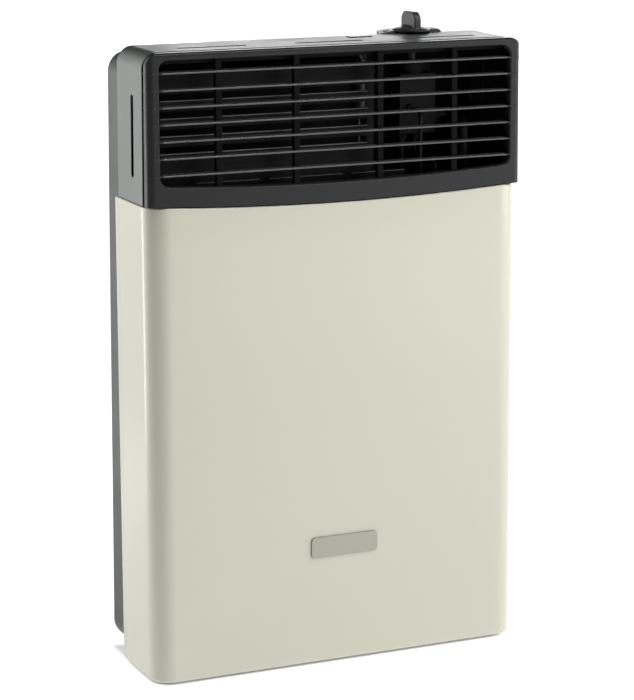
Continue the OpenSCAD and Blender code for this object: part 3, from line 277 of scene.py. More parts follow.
def wire(tree, kind, ins=None, out=0, **settings):
    """Adds a node, sets or links its inputs and returns one output."""
    node = tree.nodes.new(kind)
    for key, value in settings.items():
        setattr(node, key, value)
    for key, value in (ins or {}).items():
        if isinstance(value, bpy.types.NodeSocket):
            tree.links.new(value, node.inputs[key])
        else:
            node.inputs[key].default_value = value
    return node.outputs[out]


def maths(tree, operation, *values):
    """A maths node."""
    return wire(tree, "ShaderNodeMath", dict(enumerate(values)), operation=operation)


def ramp(tree, value, start, end, low, high, **settings):
    """A range of a value mapped to another range."""
    ins = {"Value": value, "From Min": start, "From Max": end, "To Min": low, "To Max": high}
    return wire(tree, "ShaderNodeMapRange", ins, **settings)


def finish(name, base, rough, metallic, tone, clouds, grain, relief, inputs=None, stretch=(1, 1, 1)):
    """A painted, moulded or metal finish with cloudy tone, grain and uneven gloss in the piece's own space."""
    made = bpy.data.materials.get(name)
    if made:
        return made
    made = bpy.data.materials.new(name)
    made.use_nodes = True
    tree = made.node_tree
    shader = tree.nodes["Principled BSDF"]
    space = wire(tree, "ShaderNodeTexCoord", out="Object")
    space = wire(tree, "ShaderNodeMapping", {"Vector": space, "Scale": stretch})
    cloud = wire(tree, "ShaderNodeTexNoise", {"Vector": space, "Scale": clouds, "Detail": 4.0, "Roughness": 0.55})
    fine = wire(tree, "ShaderNodeTexNoise", {"Vector": space, "Scale": grain, "Detail": 3.0, "Roughness": 0.6})
    deep = [c * (1 - tone) for c in base] + [1.0]
    pale = [min(1.0, c * (1 + tone)) for c in base] + [1.0]
    fine_share, dull, bright = 0.35, 0.9, 1.12
    both = wire(tree, "ShaderNodeMix", {0: fine_share, 2: cloud, 3: fine}, data_type="FLOAT")
    shade = wire(tree, "ShaderNodeMix", {0: both, 6: deep, 7: pale}, out=2, data_type="RGBA")
    tree.links.new(shade, shader.inputs["Base Color"])
    gloss = ramp(tree, cloud, 0.3, 0.7, rough * dull, min(1.0, rough * bright))
    tree.links.new(gloss, shader.inputs["Roughness"])
    bump = wire(tree, "ShaderNodeBump", {"Height": fine, "Strength": 1.0, "Distance": relief * MICRON})
    tree.links.new(bump, shader.inputs["Normal"])
    for key, value in {"Metallic": metallic, **(inputs or {})}.items():
        shader.inputs[key].default_value = value
    return made


def coat(key):
    """One of the finishes above."""
    name, base, *rest = COATS[key]
    if isinstance(base, str):
        base = getattr(bpy.context.scene.heater_finishes, base)
    return finish(name, base, *rest)


# ---- mesh helpers ----


def added(name, data):
    """A new object in the scene."""
    obj = bpy.data.objects.new(name, data)
    bpy.context.scene.collection.objects.link(obj)
    return obj


def smooth(mesh, angle=35.0):
    """Smooth shading up to an edge angle."""
    mesh.shade_smooth()
    mesh.set_sharp_from_angle(angle=math.radians(angle))
    return mesh


def dress(name, mesh, slot, body="heater", stands_for=(), even=True, look=None, where=None, second=None):
    """Makes a finished piece that rides on a body, in its slot's finish or another look.

    Faces whose middle passes a test take a second finish.
    """
    obj = added(name, mesh)
    mesh.materials.clear()
    mesh.materials.append(coat(look or slot))
    if where:
        mesh.materials.append(coat(second))
        for face in mesh.polygons:
            face.material_index = 1 if where(face.center) else 0
    if even:
        normals = obj.modifiers.new("even_shading", "WEIGHTED_NORMAL")
        normals.keep_sharp = True
        normals.weight = 80
    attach(obj, body)
    if stands_for:
        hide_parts(*stands_for)
    return obj


def mesh_of(bm, name):
    """Turns a finished bmesh into a mesh."""
    mesh = bpy.data.meshes.new(name)
    bm.to_mesh(mesh)
    bm.free()
    return mesh


def lofted(sections):
    """A closed solid through equal rings of points."""
    bm = bmesh.new()
    rings = [[bm.verts.new(point) for point in ring] for ring in sections]
    count = len(rings[0])
    for low, high in zip(rings, rings[1:]):
        for i in range(count):
            j = (i + 1) % count
            bm.faces.new((low[i], low[j], high[j], high[i]))
    bm.faces.new(rings[0])
    bm.faces.new(rings[-1])
    bmesh.ops.recalc_face_normals(bm, faces=bm.faces)
    return mesh_of(bm, "loft")


def prism(outline, low, high, axis):
    """A closed prism over a flat outline: axis z takes (x, depth), y takes (x, height), x takes (depth, height)."""
    place = {"z": at, "y": lambda a, b, c: at(a, c, b), "x": lambda a, b, c: at(c, a, b)}[axis]
    return lofted([[place(a, b, level) for a, b in outline] for level in (low, high)])


def carved(base, *cuts):
    """The base mesh after boolean steps, each given as an operation and a mesh."""
    work, tools = added("work", base), []
    for operation, mesh in cuts:
        tools.append(added("tool", mesh))
        step = work.modifiers.new("step", "BOOLEAN")
        step.operation = operation
        step.solver = "EXACT"
        step.object = tools[-1]
    result = settled(work)
    for tool in tools:
        bpy.data.objects.remove(tool)
    return result


def less(base, *cuts):
    """The base mesh without the cutting ones."""
    return carved(base, *[("DIFFERENCE", cut) for cut in cuts])


def settled(obj):
    """The evaluated mesh of an object, which is then removed."""
    shown = obj.evaluated_get(bpy.context.evaluated_depsgraph_get())
    mesh = bpy.data.meshes.new_from_object(shown)
    bpy.data.objects.remove(obj)
    if not mesh.polygons:
        raise RuntimeError("a piece came out empty")
    return mesh


def everywhere(_):
    """The test that every place passes."""
    return True


def rounded(mesh, *rules, corner=30.0):
    """Rounds the sharp edges of a mesh. A rule is a width, a number of steps and a test of the edge's middle."""
    bm = bmesh.new()
    bm.from_mesh(mesh)
    bmesh.ops.remove_doubles(bm, verts=bm.verts, dist=2e-6)
    bmesh.ops.dissolve_limit(bm, angle_limit=math.radians(0.6), verts=bm.verts, edges=bm.edges)
    for width, steps, test in rules:
        edges = [
            e
            for e in bm.edges
            if len(e.link_faces) == 2
            and e.calc_face_angle(0.0) > math.radians(corner)
            and test((e.verts[0].co + e.verts[1].co) / 2)
        ]
        bmesh.ops.bevel(
            bm, geom=edges, offset=width, segments=steps, profile=0.5, affect="EDGES", clamp_overlap=False
        )
    return smooth(mesh_of(bm, mesh.name))


def softened(node, steps=3):
    """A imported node's mesh with round edges."""
    return rounded(frame["nodes"][node].data, (EDGES[node], steps, everywhere))


def parted(mesh, *places):
    """The mesh with its faces parted at sideways places."""
    bm = bmesh.new()
    bm.from_mesh(mesh)
    for x in places:
        whole = bm.verts[:] + bm.edges[:] + bm.faces[:]
        bmesh.ops.bisect_plane(bm, geom=whole, plane_co=(x, 0, 0), plane_no=(1, 0, 0))
    return smooth(mesh_of(bm, mesh.name))


def arc(cx, cy, radius, start, end, steps):
    """Points along an arc, in degrees."""
    turns = [math.radians(start + (end - start) * i / steps) for i in range(steps + 1)]
    return [(cx + radius * math.cos(t), cy + radius * math.sin(t)) for t in turns]


def disc(cx, cy, radius, steps=40):
    """A round outline."""
    return arc(cx, cy, radius, 0, 360, steps)[:-1]


def stadium(cx, cy, length, width, upright=False):
    """The outline of a slot with round ends."""
    reach = (length - width) / 2
    ends = arc(reach, 0, width / 2, -90, 90, 10) + arc(-reach, 0, width / 2, 90, 270, 10)
    return [(cx - b, cy + a) if upright else (cx + a, cy + b) for a, b in ends]


def round_top(half, top, corner, steps):
    """The two round upper corners of a front view."""
    right = arc(half - corner, top - corner, corner, 0, 90, steps)
    return right + arc(corner - half, top - corner, corner, 90, 180, steps)


def plate_outline(half, low, high, radius, foot_radius=0.0):
    """An upright plate with round corners; its two lower ones may be square."""
    top, turn = round_top(half, high, radius, 20), foot_radius
    if not turn:
        return top + [(-half, low), (half, low)]
    return top + arc(turn - half, low + turn, turn, 180, 270, 20) + arc(half - turn, low + turn, turn, 270, 360, 20)


def leaned(mesh):
    """Leans a mesh about the front's top edge."""
    casing = bpy.context.scene.heater_casing
    pivot = at(0, casing.front, TOP)
    turn = Matrix.Translation(pivot) @ Matrix.Rotation(-casing.lean, 4, "X") @ Matrix.Translation(-pivot)
    mesh.transform(turn)
    return mesh


def front_at(height):
    """Depth of the leaning front face at a height."""
    casing = bpy.context.scene.heater_casing
    return casing.front + (TOP - height) * math.tan(casing.lean)


# ---- geometry nodes ----

KINDS = {int: "NodeSocketInt", float: "NodeSocketFloat", tuple: "NodeSocketVector"}
KINDS[bpy.types.Material] = "NodeSocketMaterial"


def grown(name, points, values, build):
    """Runs a Geometry Nodes tree over a few starting points and returns the plain mesh."""
    tree = bpy.data.node_groups.new(name, "GeometryNodeTree")
    tree.interface.new_socket(name="Geometry", in_out="INPUT", socket_type="NodeSocketGeometry")
    keys = {}
    for key, value in values.items():
        socket = tree.interface.new_socket(name=key, in_out="INPUT", socket_type=KINDS[type(value)])
        keys[key] = socket.identifier
    tree.interface.new_socket(name="Geometry", in_out="OUTPUT", socket_type="NodeSocketGeometry")
    start = tree.nodes.new("NodeGroupInput")
    shape = build(tree, start.outputs)
    shape = wire(tree, "GeometryNodeRealizeInstances", {"Geometry": shape})
    shape = wire(tree, "GeometryNodeSetMaterial", {"Geometry": shape, "Material": start.outputs["Finish"]})
    end = tree.nodes.new("NodeGroupOutput")
    tree.links.new(shape, end.inputs[0])
    mesh = bpy.data.meshes.new(name)
    mesh.from_pydata([tuple(p) for p in points], [], [])
    obj = added(name, mesh)
    growth = obj.modifiers.new("growth", "NODES")
    growth.node_group = tree
    for key, value in values.items():
        growth[keys[key]] = value
    return settled(obj)


def joined(tree, *parts):
    """Several geometries as one."""
    join = tree.nodes.new("GeometryNodeJoinGeometry")
    for part in parts:
        tree.links.new(part, join.inputs[0])
    return join.outputs[0]


def moved(tree, shape, **by):
    """A geometry shifted along the axes that are given."""
    shift = wire(tree, "ShaderNodeCombineXYZ", by)
    return wire(tree, "GeometryNodeTransform", {"Geometry": shape, "Translation": shift})


def fin_tree(tree, given):
    """Flat fins with two round front corners, one under the other and each a little further out."""
    wide = maths(tree, "MULTIPLY", given["Half Width"], 2.0)
    outline = wire(tree, "GeometryNodeCurvePrimitiveQuadrilateral", {"Width": wide, "Height": given["Depth"]})
    place = wire(tree, "GeometryNodeInputPosition")
    along = wire(tree, "ShaderNodeSeparateXYZ", {"Vector": place}, out="Y")
    radius = maths(tree, "MULTIPLY", maths(tree, "LESS_THAN", along, 0.0), given["Corner"])
    corners = {"Curve": outline, "Count": 10, "Radius": radius, "Limit Radius": True}
    outline = wire(tree, "GeometryNodeFilletCurve", corners, mode="POLY")
    sheet = wire(tree, "GeometryNodeFillCurve", {"Curve": outline}, mode="NGONS")
    thick = {"Mesh": sheet, "Offset Scale": given["Thickness"], "Individual": False}
    lifted = wire(tree, "GeometryNodeExtrudeMesh", thick)
    under = wire(tree, "GeometryNodeFlipFaces", {"Mesh": sheet})
    fin = joined(tree, lifted, under)
    fin = wire(tree, "GeometryNodeMergeByDistance", {"Geometry": fin, "Distance": 1e-6})
    back, down = (maths(tree, "MULTIPLY", given[key], -0.5) for key in ("Depth", "Thickness"))
    fin = moved(tree, fin, Y=back, Z=down)
    out, below = (maths(tree, "MULTIPLY", given[key], -1.0) for key in ("Drift", "Pitch"))
    step = wire(tree, "ShaderNodeCombineXYZ", {"Y": out, "Z": below})
    column = {"Count": given["Count"], "Start Location": given["Start"], "Offset": step}
    column = wire(tree, "GeometryNodeMeshLine", column)
    return wire(tree, "GeometryNodeInstanceOnPoints", {"Points": column, "Instance": fin})


def placed(tree, given, shape):
    """A shape on each starting point, turned alike."""
    turn = wire(tree, "FunctionNodeEulerToRotation", {"Euler": given["Turn"]})
    ins = {"Points": given["Geometry"], "Instance": shape, "Rotation": turn}
    return wire(tree, "GeometryNodeInstanceOnPoints", ins)


def bar_tree(tree, given):
    """Bars of one size."""
    return placed(tree, given, wire(tree, "GeometryNodeMeshCube", {"Size": given["Size"]}))


def screw_tree(tree, given):
    """Cross recessed screws, their heads towards the turned Z."""
    share = lambda key, part: maths(tree, "MULTIPLY", given[key], part)
    shank = {"Vertices": 20, "Radius": given["Shank"], "Depth": given["Length"]}
    shank = moved(tree, wire(tree, "GeometryNodeMeshCylinder", shank), Z=share("Length", -0.5))
    head = {"Radius Top": share("Head", CROWN), "Radius Bottom": given["Head"], "Depth": given["Height"]}
    head = wire(tree, "GeometryNodeMeshCone", {"Vertices": 28, **head})
    long, thin = share("Head", ARM), share("Head", ARM_WIDTH)
    recess = tree.nodes.new("GeometryNodeMeshBoolean")
    recess.operation = "DIFFERENCE"
    tree.links.new(head, recess.inputs["Mesh 1"])
    for x, y in ((long, thin), (thin, long)):
        size = wire(tree, "ShaderNodeCombineXYZ", {"X": x, "Y": y, "Z": given["Height"]})
        arm = moved(tree, wire(tree, "GeometryNodeMeshCube", {"Size": size}), Z=share("Height", RECESS))
        tree.links.new(arm, recess.inputs["Mesh 2"])
    return placed(tree, given, joined(tree, recess.outputs[0], shank))


# ---- casing ----


def joint_height(x, casing):
    """Height of the curved joint over a sideways place."""
    radius = (casing.sag_half**2 + casing.sag**2) / (2 * casing.sag)
    if abs(x) >= casing.sag_half:
        return casing.joint
    return casing.joint - casing.sag + radius - math.sqrt(radius**2 - x**2)


def cover_plan(casing, side=6, bend=14, face=60):
    """Stations round the cover: plan point and outward direction."""
    half, front, corner = casing.half_width, casing.front, casing.cover_corner
    run = front - corner - casing.cover_rear
    plan = [(-half, casing.cover_rear + run * i / side, -1.0, 0.0) for i in range(side)]
    plan += [(corner - half - corner * c, front - corner + corner * s, -c, s) for c, s in arc(0, 0, 1, 0, 90, bend)]
    mirrored = [(-x, d, -nx, nd) for x, d, nx, nd in reversed(plan)]
    plan += [(corner - half + (half - corner) * 2 * i / face, front, 0.0, 1.0) for i in range(1, face)]
    return plan + mirrored


class BuildCover(bpy.types.Operator):
    """Builds the leaning front cover with its rolled top edge and hemmed foot"""

    bl_idname = "heater.cover"
    bl_label = "Front Cover"

    def execute(self, context):
        casing = context.scene.heater_casing
        lean, hem, roll = casing.lean, casing.hem, casing.rolled_edge
        # how far the foot, the front's top edge and the sides' top edge reach in
        flange, front_lip, side_lip = (0.010, 0.0065), 0.007, 0.0002
        foot = [(inset, 0.0) for inset in flange] + arc(hem, hem, hem, 270, 180, 7)
        bm, columns = bmesh.new(), []
        for x, depth, nx, nd in cover_plan(casing):
            top = joint_height(x, casing) - casing.joint_gap
            lip = front_lip if nd > 0.99 else roll + side_lip
            wall = [(0.0, hem + (top - roll - hem) * i / 12) for i in range(1, 12)]
            section = foot + wall + arc(roll, top - roll, roll, 180, 90, 6) + [(lip, top)]
            column = []
            for inset, height in section:
                local = depth - nd * inset - casing.front
                drop = (TOP - height + local * math.sin(lean)) / math.cos(lean)
                out = casing.front + local * math.cos(lean) + drop * math.sin(lean)
                column.append(bm.verts.new(at(x - nx * inset, out, height)))
            columns.append(column)
        for left, right in zip(columns, columns[1:]):
            for i in range(len(left) - 1):
                bm.faces.new((left[i], right[i], right[i + 1], left[i + 1]))
        obj = dress("front_cover_shell", mesh_of(bm, "front_cover_shell"), "cream_paint", even=False)
        wall = obj.modifiers.new("sheet", "SOLIDIFY")
        wall.thickness = casing.sheet
        wall.offset = -1
        wall.use_even_offset = True
        smooth(obj.data, 50)
        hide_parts("front_cover")
        return {"FINISHED"}


class BuildShells(bpy.types.Operator):
    """Builds the head housing and the back panel with softened sheet edges"""

    bl_idname = "heater.shells"
    bl_label = "Housing and Back Panel"

    def execute(self, context):
        casing, shells = context.scene.heater_casing, context.scene.heater_shells
        behind, inside = 0.0005, 0.001
        face = behind - shells.front
        head = lambda p, by: self.sunk(p, casing.half_width, -1.0, TOP + FOOT, shells.corner, by)
        panel = lambda p: self.sunk(p, panel_high.x, panel_low.z, panel_high.z, shells.panel_corner, inside)
        housing = rounded(
            self.housing(casing, shells, context.scene.heater_knob),
            (EDGES["head_fold"], 3, lambda p: p.y < face and not head(p, 2 * inside)),
            (EDGES["head_cut"], 2, lambda p: p.y > face + inside),
        )
        # Faces deep inside the head take the near-black finish, painted shade inside the casing
        hidden = lambda p: head(p, 4 * inside if p.y < face + inside else 0.8 * inside)
        dress("head_housing", housing, "dark_paint", stands_for=("upper_housing",), where=hidden, second="lining")
        near = 1e-5
        tray = rounded(
            self.tray(casing, shells, context.scene.heater_knob),
            (EDGES["panel_fold"], 4, lambda p: p.y > -near and not panel(p)),
            (EDGES["panel_cut"], 2, lambda p: p.y < panel_low.y + near),
        )
        # Faces inside the panel take the near-black finish, painted shade inside the casing
        hidden = lambda p: panel_low.y + 0.2 * inside < p.y < -0.8 * inside and panel(p)
        # The back panel takes the darker paint, painted shade on its sides
        dress(
            "wall_panel", tray, "dark_paint", stands_for=("back_panel",), look="panel", where=hidden, second="lining"
        )
        return {"FINISHED"}

    @staticmethod
    def housing(casing, shells, knob):
        """Folded top and sides with a front flange, a rear lip, slots and the controls' openings."""
        half, sheet, foot, edge = casing.half_width, casing.sheet, casing.joint, shells.flange
        shell = prism(plate_outline(half, foot, TOP, shells.corner), shells.rear, shells.front, "y")
        room = plate_outline(half - sheet, foot - PAST, TOP - sheet, shells.corner - sheet)
        window = plate_outline(half - edge, foot - PAST, TOP - edge, FLANGE_CORNER)
        shell = less(shell, prism(room, 0.0, shells.front - sheet, "y"), prism(window, *FRONT_CUT, "y"))
        inset = sheet / 2
        lip = plate_outline(half - inset, TOP - LIP_H, TOP - inset, shells.corner - inset)
        lip = prism(lip, shells.rear, shells.rear + sheet, "y")
        beside = plate_outline(panel_high.x + PLAY, foot, panel_high.z - FOOT + PLAY, shells.panel_corner)
        shell = carved(shell, ("UNION", less(lip, prism(beside, 0.0, shells.front, "y"))))
        top = (TOP - PAST / 2, TOP + PAST)
        slots = [stadium(SLOT_X + i * shells.slot_pitch, SLOT_D, shells.slot, shells.slot_width) for i in (-1, 0, 1)]
        holes = [prism(slot, *top, "z") for slot in slots]
        slot = stadium(SIDE_SLOT_D, SIDE_SLOT_H, shells.slot + SIDE_SLOT_EXTRA, shells.slot_width, True)
        holes.append(prism(slot, -half - PAST, PAST - half, "x"))
        (left, right), (near, far) = BUTTON_X, BUTTON_D
        holes.append(prism([(left, near), (right, near), (right, far), (left, far)], *top, "z"))
        holes.append(prism(disc(knob.x, knob.depth, WELL_R, 72), TOP - 2 * PAST, TOP + PAST, "z"))
        flange = (shells.front - PAST / 2, shells.front + PAST / 2)
        places = [(x, h) for x in (-GRILLE_SCREW_X, GRILLE_SCREW_X) for h in GRILLE_SCREW_H]
        holes += [prism(disc(x, h, SCREW_R, 20), *flange, "y") for x, h in places]
        return less(shell, *holes)

    @staticmethod
    def tray(casing, shells, knob):
        """Pressed tray against the wall with its bolt holes, flue opening and the controls' holes."""
        half, low, high = panel_high.x, panel_low.z - FOOT, panel_high.z - FOOT
        sheet, turn = casing.sheet, shells.panel_corner
        tray = prism(plate_outline(half, low, high, turn, turn), 0.0, -panel_low.y, "y")
        turn = turn - sheet
        well = plate_outline(half - sheet, low + sheet, high - sheet, turn, turn)
        back, top = (-PAST, PAST), (high - PAST / 2, high + PAST / 2)
        cuts = [prism(well, sheet, shells.front, "y"), prism(disc(FLUE_X, FLUE_H, FLUE_R, 96), *back, "y")]
        cuts += [prism(disc(x, h, BOLT_R), *back, "y") for x in (-BOLT_X, BOLT_X) for h in BOLT_H]
        cuts.append(prism(disc(knob.x, knob.depth, SPINDLE_R), *top, "z"))
        cuts += [prism(disc(x, BEZEL_SCREW_D, SCREW_R, 20), *top, "z") for x in BEZEL_SCREW_X]
        return less(tray, *cuts)

    @staticmethod
    def sunk(p, half, low, high, radius, by):
        """Whether a point lies deeper than a distance inside a round cornered outline."""
        aside = max(abs(p.x) - (half - radius), 0.0)
        above = max(p.z - (high - radius), low + radius - p.z, 0.0)
        return math.hypot(aside, above) < radius - by


class BuildBadge(bpy.types.Operator):
    """Builds the bare badge plate with its raised rim"""

    bl_idname = "heater.badge"
    bl_label = "Badge Plate"

    def execute(self, context):
        dress("bare_badge_plate", softened("badge_plate"), "badge_metal", stands_for=("badge_plate",))
        return {"FINISHED"}


# ---- grille ----


def across(half, steps=48):
    """Even places from the right end to the left one."""
    return [half * (1 - 2 * i / steps) for i in range(steps + 1)]


def head_outline(half, top, bottom, corner, curve):
    """Front view with two round top corners over a curved foot."""
    return round_top(half, top, corner, 12) + [(x, curve(x) + bottom) for x in reversed(across(half))]


class BuildGrille(bpy.types.Operator):
    """Builds the moulded grille: frame with curved band, fins and ribs"""

    bl_idname = "heater.grille"
    bl_label = "Grille"

    def execute(self, context):
        casing, grille = context.scene.heater_casing, context.scene.heater_grille
        half, rear, top = casing.half_width, grille.rear, TOP
        curve = lambda x: joint_height(x, casing) - casing.joint
        foot, sill, head = casing.joint, casing.joint + grille.band, top - grille.rail
        inner = half - grille.post

        face, turn, reach = casing.front - grille.proud, 0.003, 0.04
        body = prism(head_outline(half, top, foot, grille.corner, curve), rear + grille.shadow, rear + reach, "y")
        lip = [(FRONT_CUT[0], top)] + arc(face - turn, top - turn, turn, 90, 0, 5)
        lip = leaned(prism(lip + [(face, LOW), (FRONT_CUT[0], LOW)], -WIDE, WIDE, "x"))
        shell = carved(body, ("INTERSECT", self.plan(half, face, grille.edge)), ("INTERSECT", lip))
        shell = less(shell, self.opening(inner, head, sill, curve, grille, casing))
        wall = 0.0025
        pocket = prism(self.band_hollow(inner - wall, sill - wall, foot + wall, curve), *FRONT_CUT, "y")
        plan = self.plan(half - wall, casing.front - wall, grille.edge - wall)
        shell = less(shell, carved(pocket, ("INTERSECT", plan)))
        shell = rounded(shell, (EDGES["frame"], 3, everywhere), corner=38.0)
        dress("grille_frame", shell, "black_plastic", stands_for=("grille",))

        step, thick = 0.003, 0.004
        deep = step + thick
        rim = head_outline(half - step, top - step, foot, grille.corner, curve)
        rim = prism(rim, context.scene.heater_shells.front, rear + step, "y")
        bore = head_outline(half - deep, top - deep, foot, grille.corner - thick, curve)
        below = [(-WIDE, LOW), (WIDE, LOW), (WIDE, sill), (-WIDE, sill)]
        rim = less(rim, *[prism(cut, *FRONT_CUT, "y") for cut in (bore, below)])
        # The rim behind the seam is near black, painted shade in the gap
        dress("grille_rim", smooth(rim), "black_plastic", look="lining")

        first = top - grille.first
        fins = {
            "Count": grille.fins,
            "Start": tuple(at(0, rear, first)),
            "Pitch": grille.pitch,
            "Drift": grille.pitch * math.tan(casing.lean),
            "Half Width": half,
            "Depth": front_at(first) - rear,
            "Corner": grille.edge,
            "Thickness": grille.fin,
            "Finish": coat("fins"),
        }
        fins = grown("grille_fins", [(0, 0, 0)], fins, fin_tree)
        fins = rounded(fins, (0.46 * grille.fin, 4, everywhere), corner=50.0)
        inner -= step
        fins = parted(fins, inner, -inner)
        # Past the window the fins take the frame's black, so the painted highlight stops at the posts
        ends = lambda p: abs(p.x) > inner
        dress("grille_fins", fins, "black_plastic", look="fins", where=ends, second="black_plastic")

        middle, over = (head + sill) / 2, 0.004
        depth = front_at(head) - grille.rib_set - rear
        behind = front_at(middle) - grille.rib_set - depth / 2
        places = (-grille.rib_out, -grille.rib_in, grille.rib_in, grille.rib_out)
        places = [at(x + grille.rib_off, behind, middle - over / 2) for x in places]
        ribs = {
            "Size": (grille.rib, depth, head - sill + 2 * over),
            "Turn": (-casing.lean, 0.0, 0.0),
            "Finish": coat("ribs"),
        }
        ribs = grown("grille_ribs", places, ribs, bar_tree)
        ribs = rounded(ribs, (EDGES["rib"], 3, everywhere), corner=50.0)
        dress("grille_ribs", ribs, "black_plastic", look="ribs")
        return {"FINISHED"}

    @staticmethod
    def plan(half, front, corner):
        """A leaning block with two round front corners, seen from above."""
        rear = FRONT_CUT[0]
        outline = [(-half, rear)] + round_top(half, front, corner, 10)[::-1] + [(half, rear)]
        return leaned(prism(outline, LOW, HIGH, "z"))

    @staticmethod
    def opening(half, head, sill, curve, grille, casing):
        """The window between the posts, flared so that its front edge comes out round."""
        flare, behind, before = grille.flare, 0.04, 0.02
        steps = [(0.0, grille.rear - behind)]
        steps += [(flare - c, casing.front - flare + s) for c, s in arc(0.0, 0.0, flare, 0, 90, 6)]
        sections = []
        for grow, depth in steps + [(flare, casing.front + before)]:
            radius = OPENING_CORNER + grow
            wide, low = half + grow, sill - grow
            outline = round_top(wide, head + grow, radius, 8)
            outline += arc(radius - wide, low + radius, radius, 180, 262, 8)
            outline += [(x, low + curve(x)) for x in across(wide)[::-1] if abs(x) < wide - radius - 1e-6]
            outline += arc(wide - radius, low + radius, radius, 278, 360, 8)
            sections.append([at(x, depth, z) for x, z in outline])
        return leaned(lofted(sections))

    @staticmethod
    def band_hollow(half, high, low, curve):
        """The hollow in the rear of the curved band."""
        places = across(half)
        return [(x, high + curve(x)) for x in places] + [(x, low + curve(x)) for x in reversed(places)]


class BuildGuard(bpy.types.Operator):
    """Builds the slotted guard behind the grille with its pressed lips"""

    bl_idname = "heater.guard"
    bl_label = "Slotted Guard"

    def execute(self, context):
        proud = 0.0002
        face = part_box("chamber_front_plate")[0].y - context.scene.heater_casing.sheet
        sheet = softened("air_deflector", 2)
        # The lips' front and top faces take the lighter enamel, a painted highlight along each lip
        lips = lambda p: p.y < face - proud
        dress("slotted_guard", sheet, "black_enamel", stands_for=("air_deflector",), where=lips, second="lit_lip_edge")
        return {"FINISHED"}


# ---- controls ----


class BuildControls(bpy.types.Operator):
    """Builds the knob, its bezel and the igniter button"""

    bl_idname = "heater.controls"
    bl_label = "Knob, Bezel and Button"

    def execute(self, context):
        knob = context.scene.heater_knob
        dress("knob_bezel", softened("control_bezel"), "grey_plastic", stands_for=("control_bezel",))
        button = softened("igniter_button")
        dress("igniter_push", button, "black_plastic", body="button", stands_for=("igniter_button",))
        foot = TOP + knob.foot
        rim = [(knob.radius - inset, foot + rise) for inset, rise in SKIRT_RIM]
        rise = SKIRT_RIM[0][1]
        skirt = [(0.0, foot + rise)] + rim + [(radius, foot + rise) for radius, rise in SKIRT_TOP]
        skirt = self.turned(skirt, knob)
        half = knob.length / 2
        outline = round_top(half, TOP + knob.height, knob.shoulder, 12) + [(-half, TOP), (half, TOP)]
        outline = [(knob.depth + a, b) for a, b in outline]
        grip = prism(outline, knob.x - knob.grip / 2, knob.x + knob.grip / 2, "x")
        sunk, clear, deep = 0.0015, 0.002, 0.1
        seat = foot + sunk
        grip = less(grip, prism([(0.0, LOW), (deep, LOW), (deep, seat), (0.0, seat)], *FRONT_CUT, "x"))
        whole = carved(skirt, ("UNION", grip))
        whole = rounded(whole, (EDGES["grip"], 4, lambda p: p.z > FOOT + foot + clear), corner=34.0)
        dress("control_knob_cap", whole, "grey_plastic", body="knob", stands_for=("control_knob",))
        return {"FINISHED"}

    @staticmethod
    def turned(profile, knob, steps=72):
        """A turned solid round the knob's axis, from a profile of radius and height."""
        bm = bmesh.new()
        rings = []
        for radius, height in profile:
            if radius:
                ring = disc(knob.x, knob.depth, radius, steps)
                rings.append([bm.verts.new(at(x, depth, height)) for x, depth in ring])
            else:
                rings.append([bm.verts.new(at(knob.x, knob.depth, height))] * steps)
        for low, high in zip(rings, rings[1:]):
            for i in range(steps):
                j = (i + 1) % steps
                bm.faces.new(list(dict.fromkeys((low[i], low[j], high[j], high[i]))))
        bmesh.ops.recalc_face_normals(bm, faces=bm.faces)
        return mesh_of(bm, "turned")


class BuildSprings(bpy.types.Operator):
    """Builds the return springs of the valve and the igniter"""

    bl_idname = "heater.springs"
    bl_label = "Return Springs"

    def execute(self, context):
        for node, body, joint, travel in (
            ("valve_spring", "valve", "knob_push", 0.005),
            ("igniter_spring", "heater", "igniter_press", 0.004),
        ):
            coil = rounded(frame["nodes"][node].data)
            coil = dress(node + "_coil", coil, "spring_steel", body=body, stands_for=(node,))
            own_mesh(coil)
        return {"FINISHED"}


class BuildScrews(bpy.types.Operator):
    """Builds the cross recessed screws of the grille, bezel, valve and chamber"""

    bl_idname = "heater.screws"
    bl_label = "Screws"

    def execute(self, context):
        for node, shank, length, head, height, turn in SCREWS:
            values = {"Shank": shank, "Length": length, "Head": head, "Height": height, "Turn": turn}
            values["Finish"] = coat("screws")
            mesh = smooth(grown(node + "_heads", self.places(node, turn, height), values, screw_tree), 30)
            dress(node + "_cross", mesh, "zinc_steel", stands_for=(node,), even=False, look="screws")
        return {"FINISHED"}

    @staticmethod
    def places(node, turn, height):
        """Where a node's screws seat: the centre of each solid, under its head."""
        bm = bmesh.new()
        bm.from_mesh(frame["nodes"][node].data)
        bmesh.ops.remove_doubles(bm, verts=bm.verts, dist=2e-6)
        left, seats = set(bm.verts), []
        while left:
            island, queue = [], [left.pop()]
            while queue:
                vert = queue.pop()
                island.append(vert.co.copy())
                for edge in vert.link_edges:
                    other = edge.other_vert(vert)
                    if other in left:
                        left.remove(other)
                        queue.append(other)
            low, high = (Vector([end(c[i] for c in island) for i in range(3)]) for end in (min, max))
            seat, axis = (low + high) / 2, 1 if turn[0] else 2
            seat[axis] = low[axis] + height if turn[0] > 0 else high[axis] - height
            seats.append(seat)
        bm.free()
        return seats


class DressWorks(bpy.types.Operator):
    """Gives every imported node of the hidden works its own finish"""

    bl_idname = "heater.works"
    bl_label = "Hidden Works"

    def execute(self, context):
        # The side straps behind the joint take the near-black finish, a painted dark line of shade at the joint
        others = {"side_straps": "lining", "valve_spindle": "spindle"}
        for part in frame["record"]["subparts"]:
            obj = frame["nodes"][part["node"]]
            obj.data.materials.clear()
            obj.data.materials.append(coat(others.get(part["node"], part["material_slot"])))
        return {"FINISHED"}


# ---- studio ----


